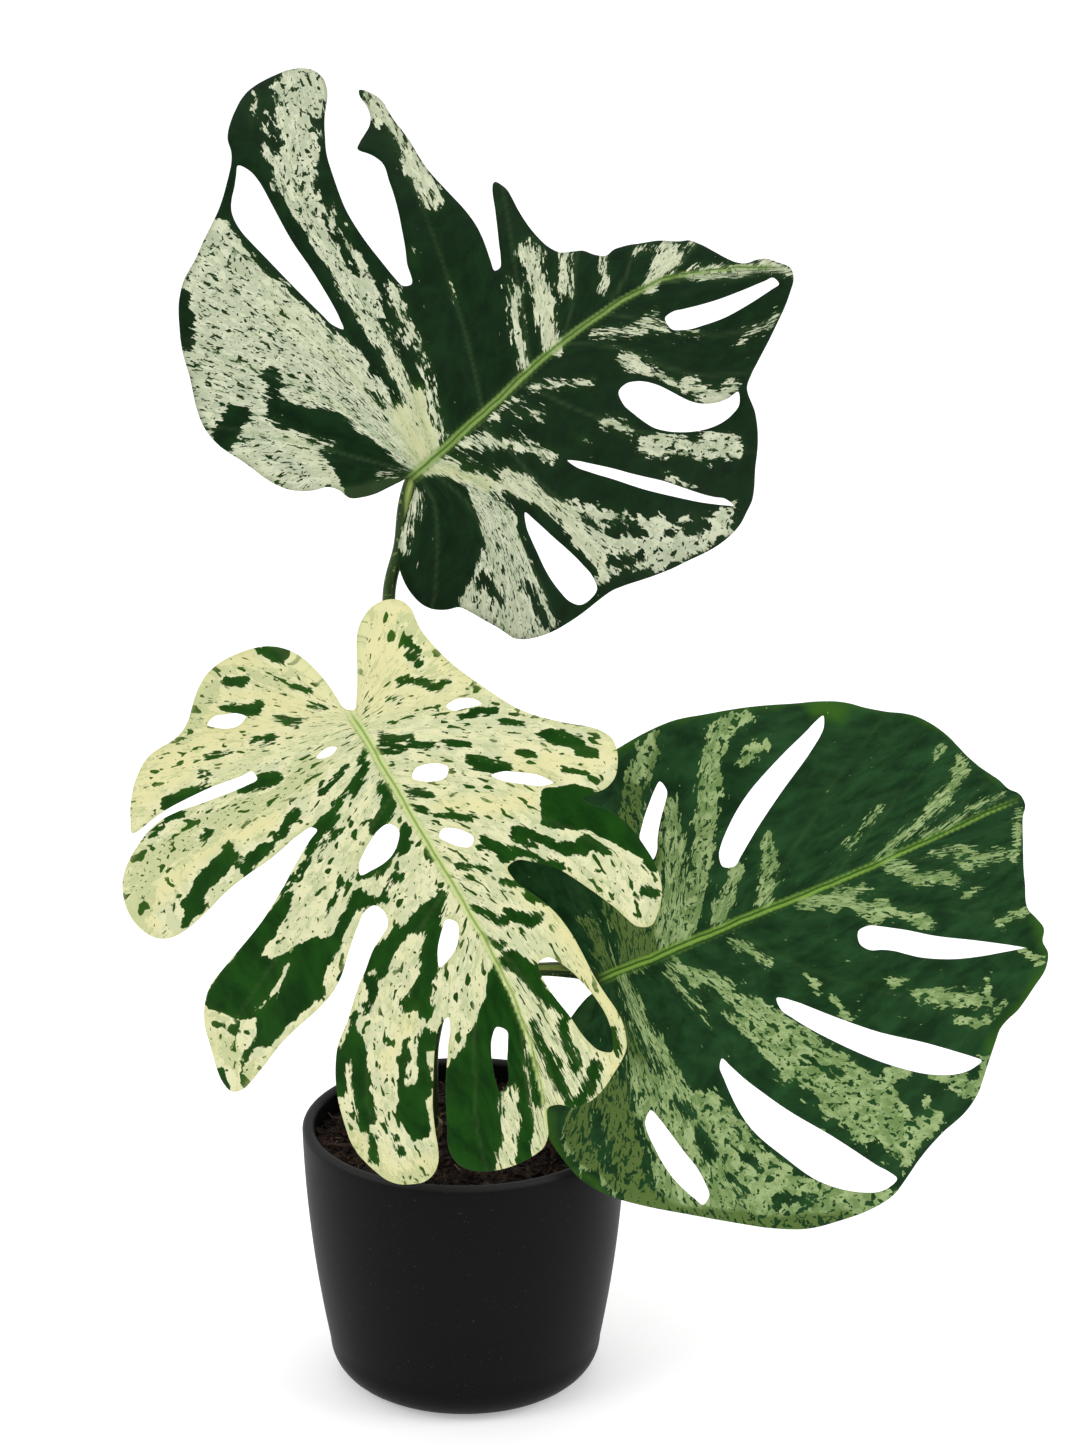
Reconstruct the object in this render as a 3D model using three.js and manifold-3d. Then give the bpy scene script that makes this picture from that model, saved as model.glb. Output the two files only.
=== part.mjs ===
// A potted monstera: three large split leaves on long petioles, a short stem, soil and a round planter.
// Millimetres, +Z up. The origin is the centre of the planter's foot, on the surface it stands on.
// Each leaf blade is a bent sheet cut to its outline. The outlines are drawn in the blade's own frame:
// x runs across the blade, y runs from the petiole joint towards the tip, z is the height of the sheet.

import * as THREE from "three";
import { mergeVertices } from "three/addons/utils/BufferGeometryUtils.js";
import Module from "manifold-3d";

const wasm = await Module();
wasm.setup();

// ---------------------------------------------------------------- driving dimensions

const clearance = 0.3;          // gap kept between pieces that touch

const potHeight = 135;
const potRimRadius = 80;        // outside, at the top
const potFootRadius = 67.5;     // outside, where the wall meets the rounded foot
const potFootRound = 20;        // radius of the rounded foot
const potWallBulge = 2.5;       // how far the wall swells past a straight cone
const potWall = 6;
const potFloor = 7;
const roundSegments = 56;       // of the planter and the soil

const soilBelowRim = 10;
const stemRadius = 12;
const stemAboveSoil = 8;
const stemInSoil = 40;
const stemCentre = [-23, 5];
const soilTop = potHeight - soilBelowRim;
const stemTop = soilTop + stemAboveSoil;

const petioleFootRadius = 4.4;  // where it leaves the stem
const petioleTopRadius = 2.9;   // where it meets the blade
const petioleSides = 10;
const petioleStep = 11;         // between the rings of its tube
const petioleFootCircle = 6.7;  // the feet stand on this radius round the stem's centre
const petioleInStem = 6;        // how deep its tube starts under the stem's top
const petioleUnderBlade = 5;    // how far past the joint it runs under the midrib

// The two lower blades hang in front of the rim, and one also to its right.
const frontReach = potRimRadius - 42;
const rightReach = potRimRadius - 10.9;

const bladeThickness = 1.2;
const ribHalfWidth = 7;         // the midrib stands out behind the blade
const ribDepthAtBase = 3;
const ribDepthAtTip = 0.6;
const foldSoftness = 12;        // how round the fold along the midrib is
const waveLength = 120;         // of the gentle swells along the blade
const waveReach = 70;           // distance from the midrib where a swell is full
const outlineStep = 6.5;

// ---------------------------------------------------------------- the three leaves, hand-drawn

const upperLeaf = {
  name: "leaf_upper",
  color: 0x2c4a30,
  joint: [-22.2, 25, 334.9],    // where its petiole meets it, with the height over the soil
  facing: 18,                   // degrees the blade is turned from the front, towards +X
  tilt: 36,                     // degrees the blade looks up
  heading: 31.6,                // degrees from level to the midrib, within the blade's plane
  ribLength: 250,
  fold: [0.12, 0.6],            // slope of the blade beside the midrib: left half, right half
  cup: [3, 8],                  // droop of each half, mm at 100 mm from the midrib
  arc: 22,                      // droop of the midrib, mm at a 171 mm run
  arcRun: 171,
  backCup: 0,                   // droop of the lobes behind the joint
  wave: 1.5,
  midrib: [[0, 0], [-2, 30], [-4, 60], [-7, 90], [-8, 120], [-7, 150], [-4, 180], [5, 203], [14, 223],
    [24, 240], [30, 250]],
  outline: [[-0.5, -2], [-3, -12], [-6, -24], [-12, -33], [-20, -34], [-24, -42], [-31, -51], [-41, -56],
    [-56, -59], [-72, -62], [-84, -60], [-95, -55], [-105, -49], [-118, -42], [-130, -33], [-138, -26],
    [-146, -15], [-151, -3], [-156, 7], [-161, 18], [-166, 28], [-172, 37], [-177, 44], [-183, 51],
    [-190, 55], [-196, 62], [-201, 71], [-205, 81], [-206, 91], [-205, 101], [-203, 110], [-199, 117],
    [-193, 121], [-186, 119], [-179, 113], [-173, 105], [-165, 97], [-155, 88], [-141, 80], [-126, 73],
    [-110, 69], [-95, 67], [-80, 66], [-74, 67.5], [-80, 72], [-90, 80], [-100, 87], [-110, 94],
    [-120, 100], [-130, 105], [-137, 108], [-143, 106], [-150, 103], [-150, 108], [-153, 115], [-155, 120],
    [-161, 126], [-167, 128], [-175, 130], [-170, 132], [-167, 136], [-160, 135], [-150, 132], [-140, 130],
    [-130, 127], [-120, 124], [-105, 122], [-90, 121], [-80, 119], [-70, 115], [-62, 111], [-54, 108.5],
    [-58, 115], [-65, 121], [-72, 127], [-80, 134], [-87, 142], [-93, 150], [-85, 149], [-75, 145],
    [-65, 142], [-55, 141], [-48, 142], [-43, 146], [-40, 154], [-35, 158], [-30, 161], [-30, 169],
    [-28, 178], [-24, 188], [-20, 197], [-15, 204], [-11, 212], [-4, 216], [3, 219], [10, 223], [14, 228],
    [16, 236], [19, 242], [24, 246], [29, 249.5], [33, 248], [36, 244], [40, 238], [45, 228], [50, 217],
    [55, 205], [61, 194], [68, 193], [76, 191], [84, 187], [90, 182], [97, 176], [103, 171], [107, 163],
    [110, 155], [111, 142], [110, 130], [108, 118], [106, 105], [103, 92], [100, 80], [97, 68], [96.5, 58],
    [96.5, 49], [96, 40], [95, 30], [93, 20], [90, 11], [86, 5], [80, 1], [72, -5], [65, -10], [59, -15],
    [57, -20], [53, -26], [47, -31], [40, -33], [32, -33], [25, -30], [18, -24], [13, -17], [9, -10],
    [5, -4], [2, -1]],
  holes: [
    [[-177, 49], [-171, 51.5], [-164, 51], [-150, 47], [-130, 41], [-110, 37], [-95, 33], [-85, 29.5],
      [-78, 26], [-81, 23.8], [-95, 23.5], [-115, 24], [-135, 24.5], [-150, 25.5], [-159, 28.5],
      [-164, 32.5], [-169, 39], [-174, 45]],
    [[12, 168], [17, 168], [22, 176], [26, 188], [29, 200], [31, 215], [32, 229], [32, 238], [29.5, 240],
      [27.5, 235], [25.5, 226], [22.5, 212], [19, 198], [15, 185], [11.5, 174]],
    [[60, 189], [64, 188], [66.5, 182], [67, 173], [65, 162], [61, 151], [55, 139], [49, 131], [41, 125.5],
      [33, 121.5], [28, 120.5], [25.5, 124], [26, 131], [30, 139], [36, 147], [43, 153], [51, 161], [56, 170],
      [59, 180]],
    [[37, 77], [41, 79], [49, 87], [58, 97], [68, 108], [78, 121], [87, 134], [95, 147], [101, 158],
      [97, 156], [90, 146], [80, 133], [70, 121], [62, 110], [53, 99], [45, 89], [39, 81]],
    [[44, 41.5], [50, 38.5], [60, 38], [72, 38], [82, 40], [90, 43.5], [93.5, 48], [94, 55], [92, 60.5],
      [87, 61], [80, 59], [70, 55], [60, 50], [50, 45]],
  ],
};

const frontLeaf = {
  name: "leaf_front",
  color: 0xc9cd9e,
  joint: [-50.9, -frontReach, 234.4],
  facing: -8,
  tilt: 22,
  heading: -60.5,
  ribLength: 218,
  fold: [0.16, 0.16],
  cup: [12, 14],
  arc: 14,
  arcRun: 216,
  backCup: 8,
  wave: 1.5,
  midrib: [[0, 0], [-2, 20], [-4, 50], [-7, 90], [-9, 120], [-9, 150], [-6, 175], [0, 200], [6, 218]],
  outline: [[-2, -3], [-8, -12], [-14, -25], [-20, -37], [-30, -44], [-41, -43], [-46, -36], [-46, -25],
    [-49, -12], [-53, -1], [-58, 9], [-64, 20], [-71, 31], [-80, 40], [-90, 48], [-98, 54], [-103, 62],
    [-101, 72], [-95, 80], [-87, 82], [-79, 80], [-80, 85], [-87, 92], [-92, 102], [-94, 112], [-95, 124],
    [-93, 135], [-88, 143], [-80, 149.5], [-75, 147], [-70, 135], [-62, 119], [-54, 106], [-45, 98],
    [-38, 94], [-33, 96], [-35, 106], [-40, 115], [-44, 125], [-46, 136], [-46.5, 148], [-46.5, 160],
    [-47.5, 171], [-48.5, 181], [-47, 190], [-43, 198], [-37, 202], [-31, 206], [-24, 209.5], [-15, 211],
    [-8, 209], [-3, 204], [2, 206], [5, 214], [10, 220], [20, 222], [33, 221], [44, 217], [51, 211],
    [53, 204], [50, 195], [45, 184], [40, 174], [35, 166], [30, 158], [25, 151], [23, 146], [28, 146.5],
    [34, 152], [40, 161], [46, 171], [51, 180], [55, 190], [58, 199], [62, 206], [69, 209.5], [77, 208],
    [86, 203], [92, 193], [96, 180], [95, 168], [92, 155], [87, 144], [79, 133], [71, 127], [64, 120.5],
    [57, 114], [51, 109.5], [45, 104.5], [38, 99], [31, 96], [28, 90], [31, 83], [38, 83.5], [47, 91],
    [55, 98], [62, 105], [70, 110], [80, 113.5], [92, 116], [106, 119.5], [120, 125], [132, 129],
    [140, 129.5], [143.5, 121], [142, 112], [140, 104], [138, 96], [134, 88], [126, 80], [114, 75],
    [100, 70], [85, 64], [70, 56], [56, 47.5], [46, 42], [38, 37], [50, 36.5], [65, 39.5], [80, 41],
    [95, 43], [110, 47], [122, 49.5], [132, 49.5], [140, 46], [145, 39], [147.5, 30], [146, 20], [141, 12],
    [134, 7], [126, 3], [118, 0], [109, -1.5], [100, -1], [90, 0.8], [75, 3], [61, 4.5], [54, 3.5],
    [54, 0.5], [65, -1.5], [76, -3.3], [90, -4.5], [105, -5], [117, -4], [126, -3], [124, -9], [120, -16],
    [114, -23], [106, -29], [98, -32], [90, -32], [82, -33], [76, -36], [70, -42], [64, -48], [55, -53],
    [45, -54.5], [35, -53.5], [25, -51], [17, -46], [11, -39], [7, -30], [4, -19], [2.5, -8], [1, -3]],
  holes: [
    [[-57, 20.5], [-50, 19.5], [-43, 18], [-40.5, 15.3], [-44, 13.2], [-50, 14], [-55, 17]],
    [[-30, 41], [-28, 44.5], [-22, 44.5], [-15, 41], [-12, 37], [-15, 34.5], [-22, 35], [-28, 38]],
    [[-70, 69], [-64, 68], [-57, 63.5], [-50, 58.5], [-45, 53.5], [-48, 52.5], [-56, 56], [-63, 61],
      [-69, 66]],
    [[-26, 76], [-24, 79.3], [-19, 78], [-14, 73], [-11, 67], [-14, 65.5], [-20, 68], [-24, 72]],
    [[-38, 195], [-34, 193], [-31, 188], [-29, 180], [-28, 171], [-26, 163], [-25, 152], [-25.5, 144],
      [-29, 140], [-33, 143], [-37, 149], [-40, 157], [-42.3, 166], [-43.5, 177], [-42, 187]],
    [[1, 164], [2, 160.5], [6, 160.5], [10, 164.5], [13.5, 171], [16.5, 180], [18, 188], [15.5, 190],
      [11.5, 184], [7, 176], [3.5, 170]],
    [[-1, 108], [1, 104.5], [5, 105], [9, 110], [14, 117], [18, 123], [12, 122.5], [5, 119], [1, 114]],
    [[4, 57], [6, 52.5], [12, 52], [20, 55.5], [28, 61], [32.5, 66.5], [27, 68], [19, 67.5], [12, 66],
      [7, 62]],
    [[13, 8.8], [16, 10.8], [21, 10.8], [25, 8.6], [21, 6.8], [16, 6.8]],
    [[47, -25], [51, -22.8], [57, -23.6], [63, -27], [67, -31], [64, -33.3], [57, -31.5], [50, -28.5]],
  ],
};

const rightLeaf = {
  name: "leaf_right",
  color: 0x3c6136,
  joint: [rightReach, -frontReach, 102.6],
  facing: 12,
  tilt: 30,
  heading: 18.3,
  ribLength: 235,
  fold: [0.14, 0.14],
  cup: [10, 12],
  arc: 18,
  arcRun: 230,
  backCup: 6,
  wave: 2,
  midrib: [[0, 0], [1, 40], [1, 80], [2, 110], [2, 140], [1, 180], [0, 215], [0, 235]],
  outline: [[-1, -3], [-8, -10], [-20, -17], [-34, -23], [-50, -27], [-66, -26], [-80, -20], [-88, -10],
    [-92, 5], [-95, 25], [-99, 42], [-101, 57], [-103, 74], [-103, 90], [-100, 105], [-97, 120],
    [-93, 135], [-88, 150], [-84, 163], [-79, 174], [-72, 183], [-66, 192], [-60, 202], [-52, 209],
    [-43, 214], [-34, 217], [-27, 219], [-20, 223], [-12, 228], [-5, 231], [0, 236], [10, 230], [22, 225],
    [34, 220], [45, 217], [53, 215.5], [61, 220], [70, 216], [77, 217], [83, 210], [90, 200], [95, 191],
    [98, 182], [106, 174], [115, 166], [124, 158], [130, 148], [134, 135], [140, 121], [147, 109],
    [152, 100], [154, 86], [153, 70], [150, 52], [143, 36], [135, 22], [126, 7], [117, -8], [108, -22],
    [97, -36], [85, -46], [72, -51], [57, -54], [43, -52], [32, -46], [22, -38], [14, -27], [7, -15],
    [3, -5]],
  holes: [
    [[-77, 161], [-71, 158], [-62, 145], [-50, 123], [-38, 103], [-30, 91], [-24, 81], [-27, 76.5],
      [-33, 78], [-44, 89], [-55, 105], [-65, 127], [-72, 146]],
    [[-78, 69], [-72, 70], [-62, 62], [-50, 53], [-42, 48], [-54, 45.5], [-62, 51], [-71, 60]],
    [[68, 207], [63, 199], [55, 184], [45, 164], [35, 147], [27, 129], [30, 125], [37, 125.5], [43, 138],
      [52, 152], [59, 168], [63, 182], [66, 196]],
    [[110, 166], [104, 159], [92, 142], [76, 117], [61, 99], [49, 86], [41, 76], [46, 74.5], [55, 80],
      [74, 96], [94, 118], [107, 139], [112, 156]],
    [[146, 104], [135, 95], [116, 80], [94, 62], [74, 48], [57, 37], [75, 36.5], [95, 41], [114, 52],
      [131, 64], [142, 78], [148.5, 94]],
    [[67, -4], [75, -0.5], [90, 4.5], [105, 9.5], [117, 10], [119.5, 6.5], [112, 0.5], [100, -5.5],
      [85, -8.7], [71, -8.7]],
  ],
};

// Each petiole leaves the stem's top at an angle round its centre. Its route has points placed from that
// foot and then points placed from the blade's joint, so it follows both when they move.
const petioles = [
  {
    name: "petiole_upper",
    leaf: upperLeaf,
    footAngle: 81,
    fromFoot: [[0, 0.5, 29], [0.4, 1.5, 82], [-0.3, 2.5, 113]],
    fromJoint: [[-2.8, -10, -177.4], [-6.9, -9, -147.9], [-10, -7, -111.4], [-13, -4, -61.4],
      [-7.4, -2.5, -33.9]],
  },
  {
    name: "petiole_front",
    leaf: frontLeaf,
    footAngle: 212,
    fromFoot: [[2.3, -0.9, 34], [4.8, -0.4, 87]],
    fromJoint: [[27.9, 38, -97.4], [25.9, 35, -65.9], [18.7, 30, -34.7], [8.9, 18, -15.4]],
  },
  {
    name: "petiole_right",
    leaf: rightLeaf,
    footAngle: -32,
    fromFoot: [[0.4, -0.4, 25.7], [1.6, -2.4, 45.3], [6.7, -5.4, 65]],
    fromJoint: [[-68.3, 30, -16.6], [-51.2, 24, -8.6], [-31.3, 16, -3.1], [-14.9, 8, -0.6]],
  },
];

const colors = {
  pot: 0x17181a,
  soil: 0x2b211b,
  stem: 0x57523a,
  petiole: 0x4d6b33,
};

// ---------------------------------------------------------------- solids

function solidOf(geometry) {
  const bare = geometry.clone();
  bare.deleteAttribute("normal");
  bare.deleteAttribute("uv");
  const merged = mergeVertices(bare, 1e-4);
  return new wasm.Manifold(new wasm.Mesh({
    numProp: 3,
    vertProperties: new Float32Array(merged.attributes.position.array),
    triVerts: new Uint32Array(merged.index.array),
  }));
}

function geometryOf(solid) {
  const mesh = solid.getMesh();
  const geometry = new THREE.BufferGeometry();
  geometry.setAttribute("position", new THREE.BufferAttribute(mesh.vertProperties, 3));
  geometry.setIndex(new THREE.BufferAttribute(mesh.triVerts, 1));
  geometry.computeVertexNormals();
  return geometry;
}

function namedMesh(name, geometry, color, roughness) {
  const mesh = new THREE.Mesh(geometry, new THREE.MeshStandardMaterial({ color, roughness, metalness: 0 }));
  mesh.name = name;
  return mesh;
}

function lathe(profile, segments) {
  const points = profile.map(([radius, z]) => new THREE.Vector2(radius, z));
  return new THREE.LatheGeometry(points, segments).rotateX(Math.PI / 2);
}

// ---------------------------------------------------------------- planter and soil

// Outside radius of the planter at a height above its rounded foot.
function potRadiusAt(z) {
  const rise = (z - potFootRound) / (potHeight - potFootRound);
  const swell = potWallBulge * 4 * rise * (1 - rise);
  return potFootRadius + (potRimRadius - potFootRadius) * rise + swell;
}

// Points up the outside of the planter moved inwards by a wall, from the axis at height `floor`.
function potSide(wall, floor, top, wallSteps) {
  const side = [[0, floor]];
  const round = potFootRound - wall;
  const roundSteps = 4;
  for (let i = 0; i <= roundSteps; i += 1) {
    const angle = (i / roundSteps) * (Math.PI / 2);
    const radius = potFootRadius - potFootRound + round * Math.sin(angle);
    side.push([radius, Math.max(floor, potFootRound - round * Math.cos(angle))]);
  }
  for (let i = 1; i <= wallSteps; i += 1) {
    const z = potFootRound + (top - potFootRound) * (i / wallSteps);
    side.push([potRadiusAt(z) - wall, z]);
  }
  return side;
}

function makePot() {
  const wallSteps = 4;
  const lip = potWall / 2;
  const outside = potSide(0, 0, potHeight - lip, wallSteps);
  const inside = potSide(potWall, potFloor, potHeight - lip, wallSteps);
  const rimRadius = potRadiusAt(potHeight - lip) - lip;
  const rim = [];
  const rimSteps = 5;
  for (let i = 1; i < rimSteps; i += 1) {
    const angle = (i / rimSteps) * Math.PI;
    rim.push([rimRadius + lip * Math.cos(angle), potHeight - lip + lip * Math.sin(angle)]);
  }
  const profile = [...outside, ...rim, ...inside.reverse()];
  return namedMesh("pot", lathe(profile, roundSegments), colors.pot, 0.5);
}

function makeSoil() {
  const side = potSide(potWall + clearance, potFloor + clearance, soilTop, 4);
  const profile = [...side, [0, soilTop]];
  const soil = solidOf(lathe(profile, roundSegments)).subtract(solidOf(stemGeometry(clearance)));
  return namedMesh("soil", geometryOf(soil), colors.soil, 1);
}

// ---------------------------------------------------------------- stem and petioles

// The short stem, grown outwards by `gap` for cutting its neighbours.
function stemGeometry(gap) {
  const bottom = soilTop - stemInSoil - gap;
  const top = stemTop + gap;
  const radius = stemRadius + gap;
  const chamfer = 3;
  const profile = [[0, bottom], [radius - chamfer, bottom], [radius, bottom + chamfer],
    [radius, top - chamfer], [radius - chamfer, top], [0, top]];
  return lathe(profile, 24).translate(stemCentre[0], stemCentre[1], 0);
}

// A tube along a curve whose radius runs from `footRadius` to `topRadius`.
function taperedTube(curve, footRadius, topRadius, steps) {
  const section = new THREE.Shape();
  section.absarc(0, 0, 1, 0, Math.PI * 2, false);
  const tube = new THREE.ExtrudeGeometry(section, {
    steps, curveSegments: petioleSides / 2, bevelEnabled: false, extrudePath: curve,
  });
  const rings = curve.getSpacedPoints(steps);
  const position = tube.attributes.position;
  const point = new THREE.Vector3();
  for (let i = 0; i < position.count; i += 1) {
    point.fromBufferAttribute(position, i);
    let nearest = 0;
    for (let k = 1; k < rings.length; k += 1) {
      if (point.distanceToSquared(rings[k]) < point.distanceToSquared(rings[nearest])) {
        nearest = k;
      }
    }
    const radius = THREE.MathUtils.lerp(footRadius, topRadius, nearest / steps);
    point.sub(rings[nearest]).multiplyScalar(radius).add(rings[nearest]);
    position.setXYZ(i, point.x, point.y, point.z);
  }
  return tube;
}

function petioleCurve(petiole) {
  const angle = THREE.MathUtils.degToRad(petiole.footAngle);
  const foot = new THREE.Vector3(
    stemCentre[0] + petioleFootCircle * Math.cos(angle),
    stemCentre[1] + petioleFootCircle * Math.sin(angle),
    stemTop,
  );
  const joint = jointOf(petiole.leaf);
  const start = foot.clone().setZ(stemTop - petioleInStem);
  const lower = petiole.fromFoot.map((offset) => new THREE.Vector3(...offset).add(foot));
  const upper = petiole.fromJoint.map((offset) => new THREE.Vector3(...offset).add(joint));
  const end = new THREE.Vector3(0, petioleUnderBlade, 0).applyMatrix4(leafMatrix(petiole.leaf));
  return new THREE.CatmullRomCurve3([start, ...lower, ...upper, end]);
}

// A whole tube from inside the stem to the blade, trimmed where it meets them.
function makePetiole(petiole) {
  const curve = petioleCurve(petiole);
  const steps = Math.round(curve.getLength() / petioleStep);
  const frontOfBlade = overBackFace(petiole.leaf, clearance).applyMatrix4(leafMatrix(petiole.leaf));
  const solid = solidOf(taperedTube(curve, petioleFootRadius, petioleTopRadius, steps))
    .subtract(solidOf(stemGeometry(clearance)))
    .subtract(solidOf(frontOfBlade));
  return namedMesh(petiole.name, geometryOf(solid), colors.petiole, 0.55);
}

// ---------------------------------------------------------------- leaf blades

function jointOf(leaf) {
  const [x, y, overSoil] = leaf.joint;
  return new THREE.Vector3(x, y, soilTop + overSoil);
}

// The blade's frame: x across, y along the midrib, z out of its upper face.
function leafMatrix(leaf) {
  const facing = THREE.MathUtils.degToRad(leaf.facing);
  const tilt = THREE.MathUtils.degToRad(leaf.tilt);
  const heading = THREE.MathUtils.degToRad(leaf.heading);
  const normal = new THREE.Vector3(
    Math.cos(tilt) * Math.sin(facing),
    -Math.cos(tilt) * Math.cos(facing),
    Math.sin(tilt),
  );
  const level = new THREE.Vector3(Math.cos(facing), Math.sin(facing), 0);
  const uphill = new THREE.Vector3().crossVectors(normal, level);
  const along = level.clone().multiplyScalar(Math.cos(heading)).addScaledVector(uphill, Math.sin(heading));
  const across = new THREE.Vector3().crossVectors(along, normal);
  return new THREE.Matrix4().makeBasis(across, along, normal).setPosition(jointOf(leaf));
}

// Where the midrib lies across the blade, at a distance y along it.
function midribAt(leaf, y) {
  const line = leaf.midrib;
  if (y <= line[0][1]) {
    return line[0][0];
  }
  for (let i = 1; i < line.length; i += 1) {
    const [x1, y1] = line[i];
    const [x0, y0] = line[i - 1];
    if (y <= y1) {
      return x0 + ((x1 - x0) * (y - y0)) / (y1 - y0);
    }
  }
  return line[line.length - 1][0];
}

// Height of the blade's upper face, u from the midrib and y along it.
function bladeHeight(leaf, u, y) {
  const side = u < 0 ? 0 : 1;
  const fold = -leaf.fold[side] * (Math.hypot(u, foldSoftness) - foldSoftness);
  const cup = -leaf.cup[side] * (u / 100) ** 2;
  const arc = -leaf.arc * (Math.max(y, 0) / leaf.arcRun) ** 2;
  const back = -leaf.backCup * (Math.min(y, 0) / 60) ** 2;
  const swell = Math.sin((2 * Math.PI * (y + 0.5 * Math.abs(u))) / waveLength);
  const wave = leaf.wave * swell * Math.min(1, Math.abs(u) / waveReach);
  return fold + cup + arc + back + wave;
}

function ribDepth(leaf, u, y) {
  if (y < 0 || y > leaf.ribLength || Math.abs(u) >= ribHalfWidth) {
    return 0;
  }
  const depth = THREE.MathUtils.lerp(ribDepthAtBase, ribDepthAtTip, y / leaf.ribLength);
  return depth * (1 - Math.abs(u) / ribHalfWidth);
}

function outlineBox(leaf) {
  const xs = leaf.outline.map((point) => point[0]);
  const ys = leaf.outline.map((point) => point[1]);
  const margin = 14;
  return {
    left: Math.min(...xs) - margin,
    right: Math.max(...xs) + margin,
    low: Math.min(...ys) - margin,
    high: Math.max(...ys) + margin,
  };
}

// Distances from the midrib for the sheet's grid lines: close beside the midrib, wide far from it.
function acrossLines(left, right) {
  const near = [0, ribHalfWidth, 18, 34];
  const step = 21;
  const lines = [];
  for (const [sign, reach] of [[-1, -left], [1, right]]) {
    for (let i = 1; i < near.length; i += 1) {
      lines.push(sign * near[i]);
    }
    const count = Math.ceil((reach - near[near.length - 1]) / step);
    for (let i = 1; i <= count; i += 1) {
      lines.push(sign * (near[near.length - 1] + i * step));
    }
  }
  lines.push(0);
  return lines.sort((a, b) => a - b);
}

function alongLines(low, high) {
  const step = 20;
  const lines = [];
  for (let i = Math.floor(low / step); i <= Math.ceil(high / step); i += 1) {
    lines.push(i * step);
  }
  return lines;
}

// A closed grid between two height functions, over the leaf's box.
function gridGeometry(leaf, upper, lower) {
  const box = outlineBox(leaf);
  const us = acrossLines(box.left, box.right);
  const ys = alongLines(box.low, box.high);
  const positions = [];
  for (const height of [upper, lower]) {
    for (const y of ys) {
      for (const u of us) {
        positions.push(midribAt(leaf, y) + u, y, height(u, y));
      }
    }
  }
  const columns = us.length;
  const lastColumn = columns - 1;
  const lastRow = ys.length - 1;
  const top = (row, column) => row * columns + column;
  const bottom = (row, column) => ys.length * columns + top(row, column);
  const index = [];
  const quad = (a, b, c, d) => index.push(a, b, c, a, c, d);
  for (let row = 0; row < lastRow; row += 1) {
    for (let column = 0; column < lastColumn; column += 1) {
      quad(top(row, column), top(row, column + 1), top(row + 1, column + 1), top(row + 1, column));
      quad(bottom(row, column), bottom(row + 1, column), bottom(row + 1, column + 1), bottom(row, column + 1));
    }
    quad(top(row, 0), top(row + 1, 0), bottom(row + 1, 0), bottom(row, 0));
    quad(bottom(row, lastColumn), bottom(row + 1, lastColumn), top(row + 1, lastColumn), top(row, lastColumn));
  }
  for (let column = 0; column < lastColumn; column += 1) {
    quad(bottom(0, column), bottom(0, column + 1), top(0, column + 1), top(0, column));
    quad(top(lastRow, column), top(lastRow, column + 1), bottom(lastRow, column + 1), bottom(lastRow, column));
  }
  const geometry = new THREE.BufferGeometry();
  geometry.setAttribute("position", new THREE.Float32BufferAttribute(positions, 3));
  geometry.setIndex(index);
  return geometry;
}

function backFace(leaf, u, y) {
  return bladeHeight(leaf, u, y) - bladeThickness - ribDepth(leaf, u, y);
}

// The uncut sheet of a blade.
function sheetGeometry(leaf) {
  const upper = (u, y) => bladeHeight(leaf, u, y);
  const lower = (u, y) => backFace(leaf, u, y);
  return gridGeometry(leaf, upper, lower);
}

// Everything from `gap` behind the blade to well in front of it, for trimming its petiole.
function overBackFace(leaf, gap) {
  const reach = 60;
  const upper = (u, y) => bladeHeight(leaf, u, y) + reach;
  const lower = (u, y) => backFace(leaf, u, y) - gap;
  return gridGeometry(leaf, upper, lower);
}

// A closed smooth line through hand-drawn points, as evenly spaced points in counter-clockwise order.
function smoothLoop(points) {
  const curve = new THREE.CatmullRomCurve3(
    points.map(([x, y]) => new THREE.Vector3(x, y, 0)), true, "centripetal",
  );
  curve.arcLengthDivisions = points.length * 12;
  const count = Math.max(8, Math.round(curve.getLength() / outlineStep));
  const loop = curve.getSpacedPoints(count).slice(0, -1).map((point) => new THREE.Vector2(point.x, point.y));
  return THREE.ShapeUtils.isClockWise(loop) ? loop.reverse() : loop;
}

function makeBlade(leaf) {
  const shape = new THREE.Shape(smoothLoop(leaf.outline));
  for (const hole of leaf.holes) {
    shape.holes.push(new THREE.Path(smoothLoop(hole)));
  }
  const depth = 400;
  const prism = new THREE.ExtrudeGeometry(shape, { depth, bevelEnabled: false }).translate(0, 0, -depth / 2);
  const blade = solidOf(sheetGeometry(leaf)).intersect(solidOf(prism));
  const mesh = namedMesh(leaf.name, geometryOf(blade), leaf.color, 0.45);
  const frame = leafMatrix(leaf);
  mesh.position.setFromMatrixPosition(frame);
  mesh.quaternion.setFromRotationMatrix(frame);
  return mesh;
}

// ---------------------------------------------------------------- the plant

const plant = new THREE.Group();
plant.add(makePot());
plant.add(makeSoil());
plant.add(namedMesh("stem", stemGeometry(0), colors.stem, 0.8));
petioles.forEach((petiole) => plant.add(makePetiole(petiole)));
petioles.forEach((petiole) => plant.add(makeBlade(petiole.leaf)));

export default plant;
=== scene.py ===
# %% [markdown]
# # A variegated monstera in a black pot
# The plant has three large split leaves, each on a long stalk, which is called a petiole. The petioles rise
# from a short stem in a round pot of soil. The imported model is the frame: it says where each piece is and
# how big it is. The looks are built round it, in metres and in the same frame.

import math

import bmesh
import bpy
import numpy as np
from mathutils import Matrix, Vector, kdtree, noise
from mathutils.geometry import delaunay_2d_cdt


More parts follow.
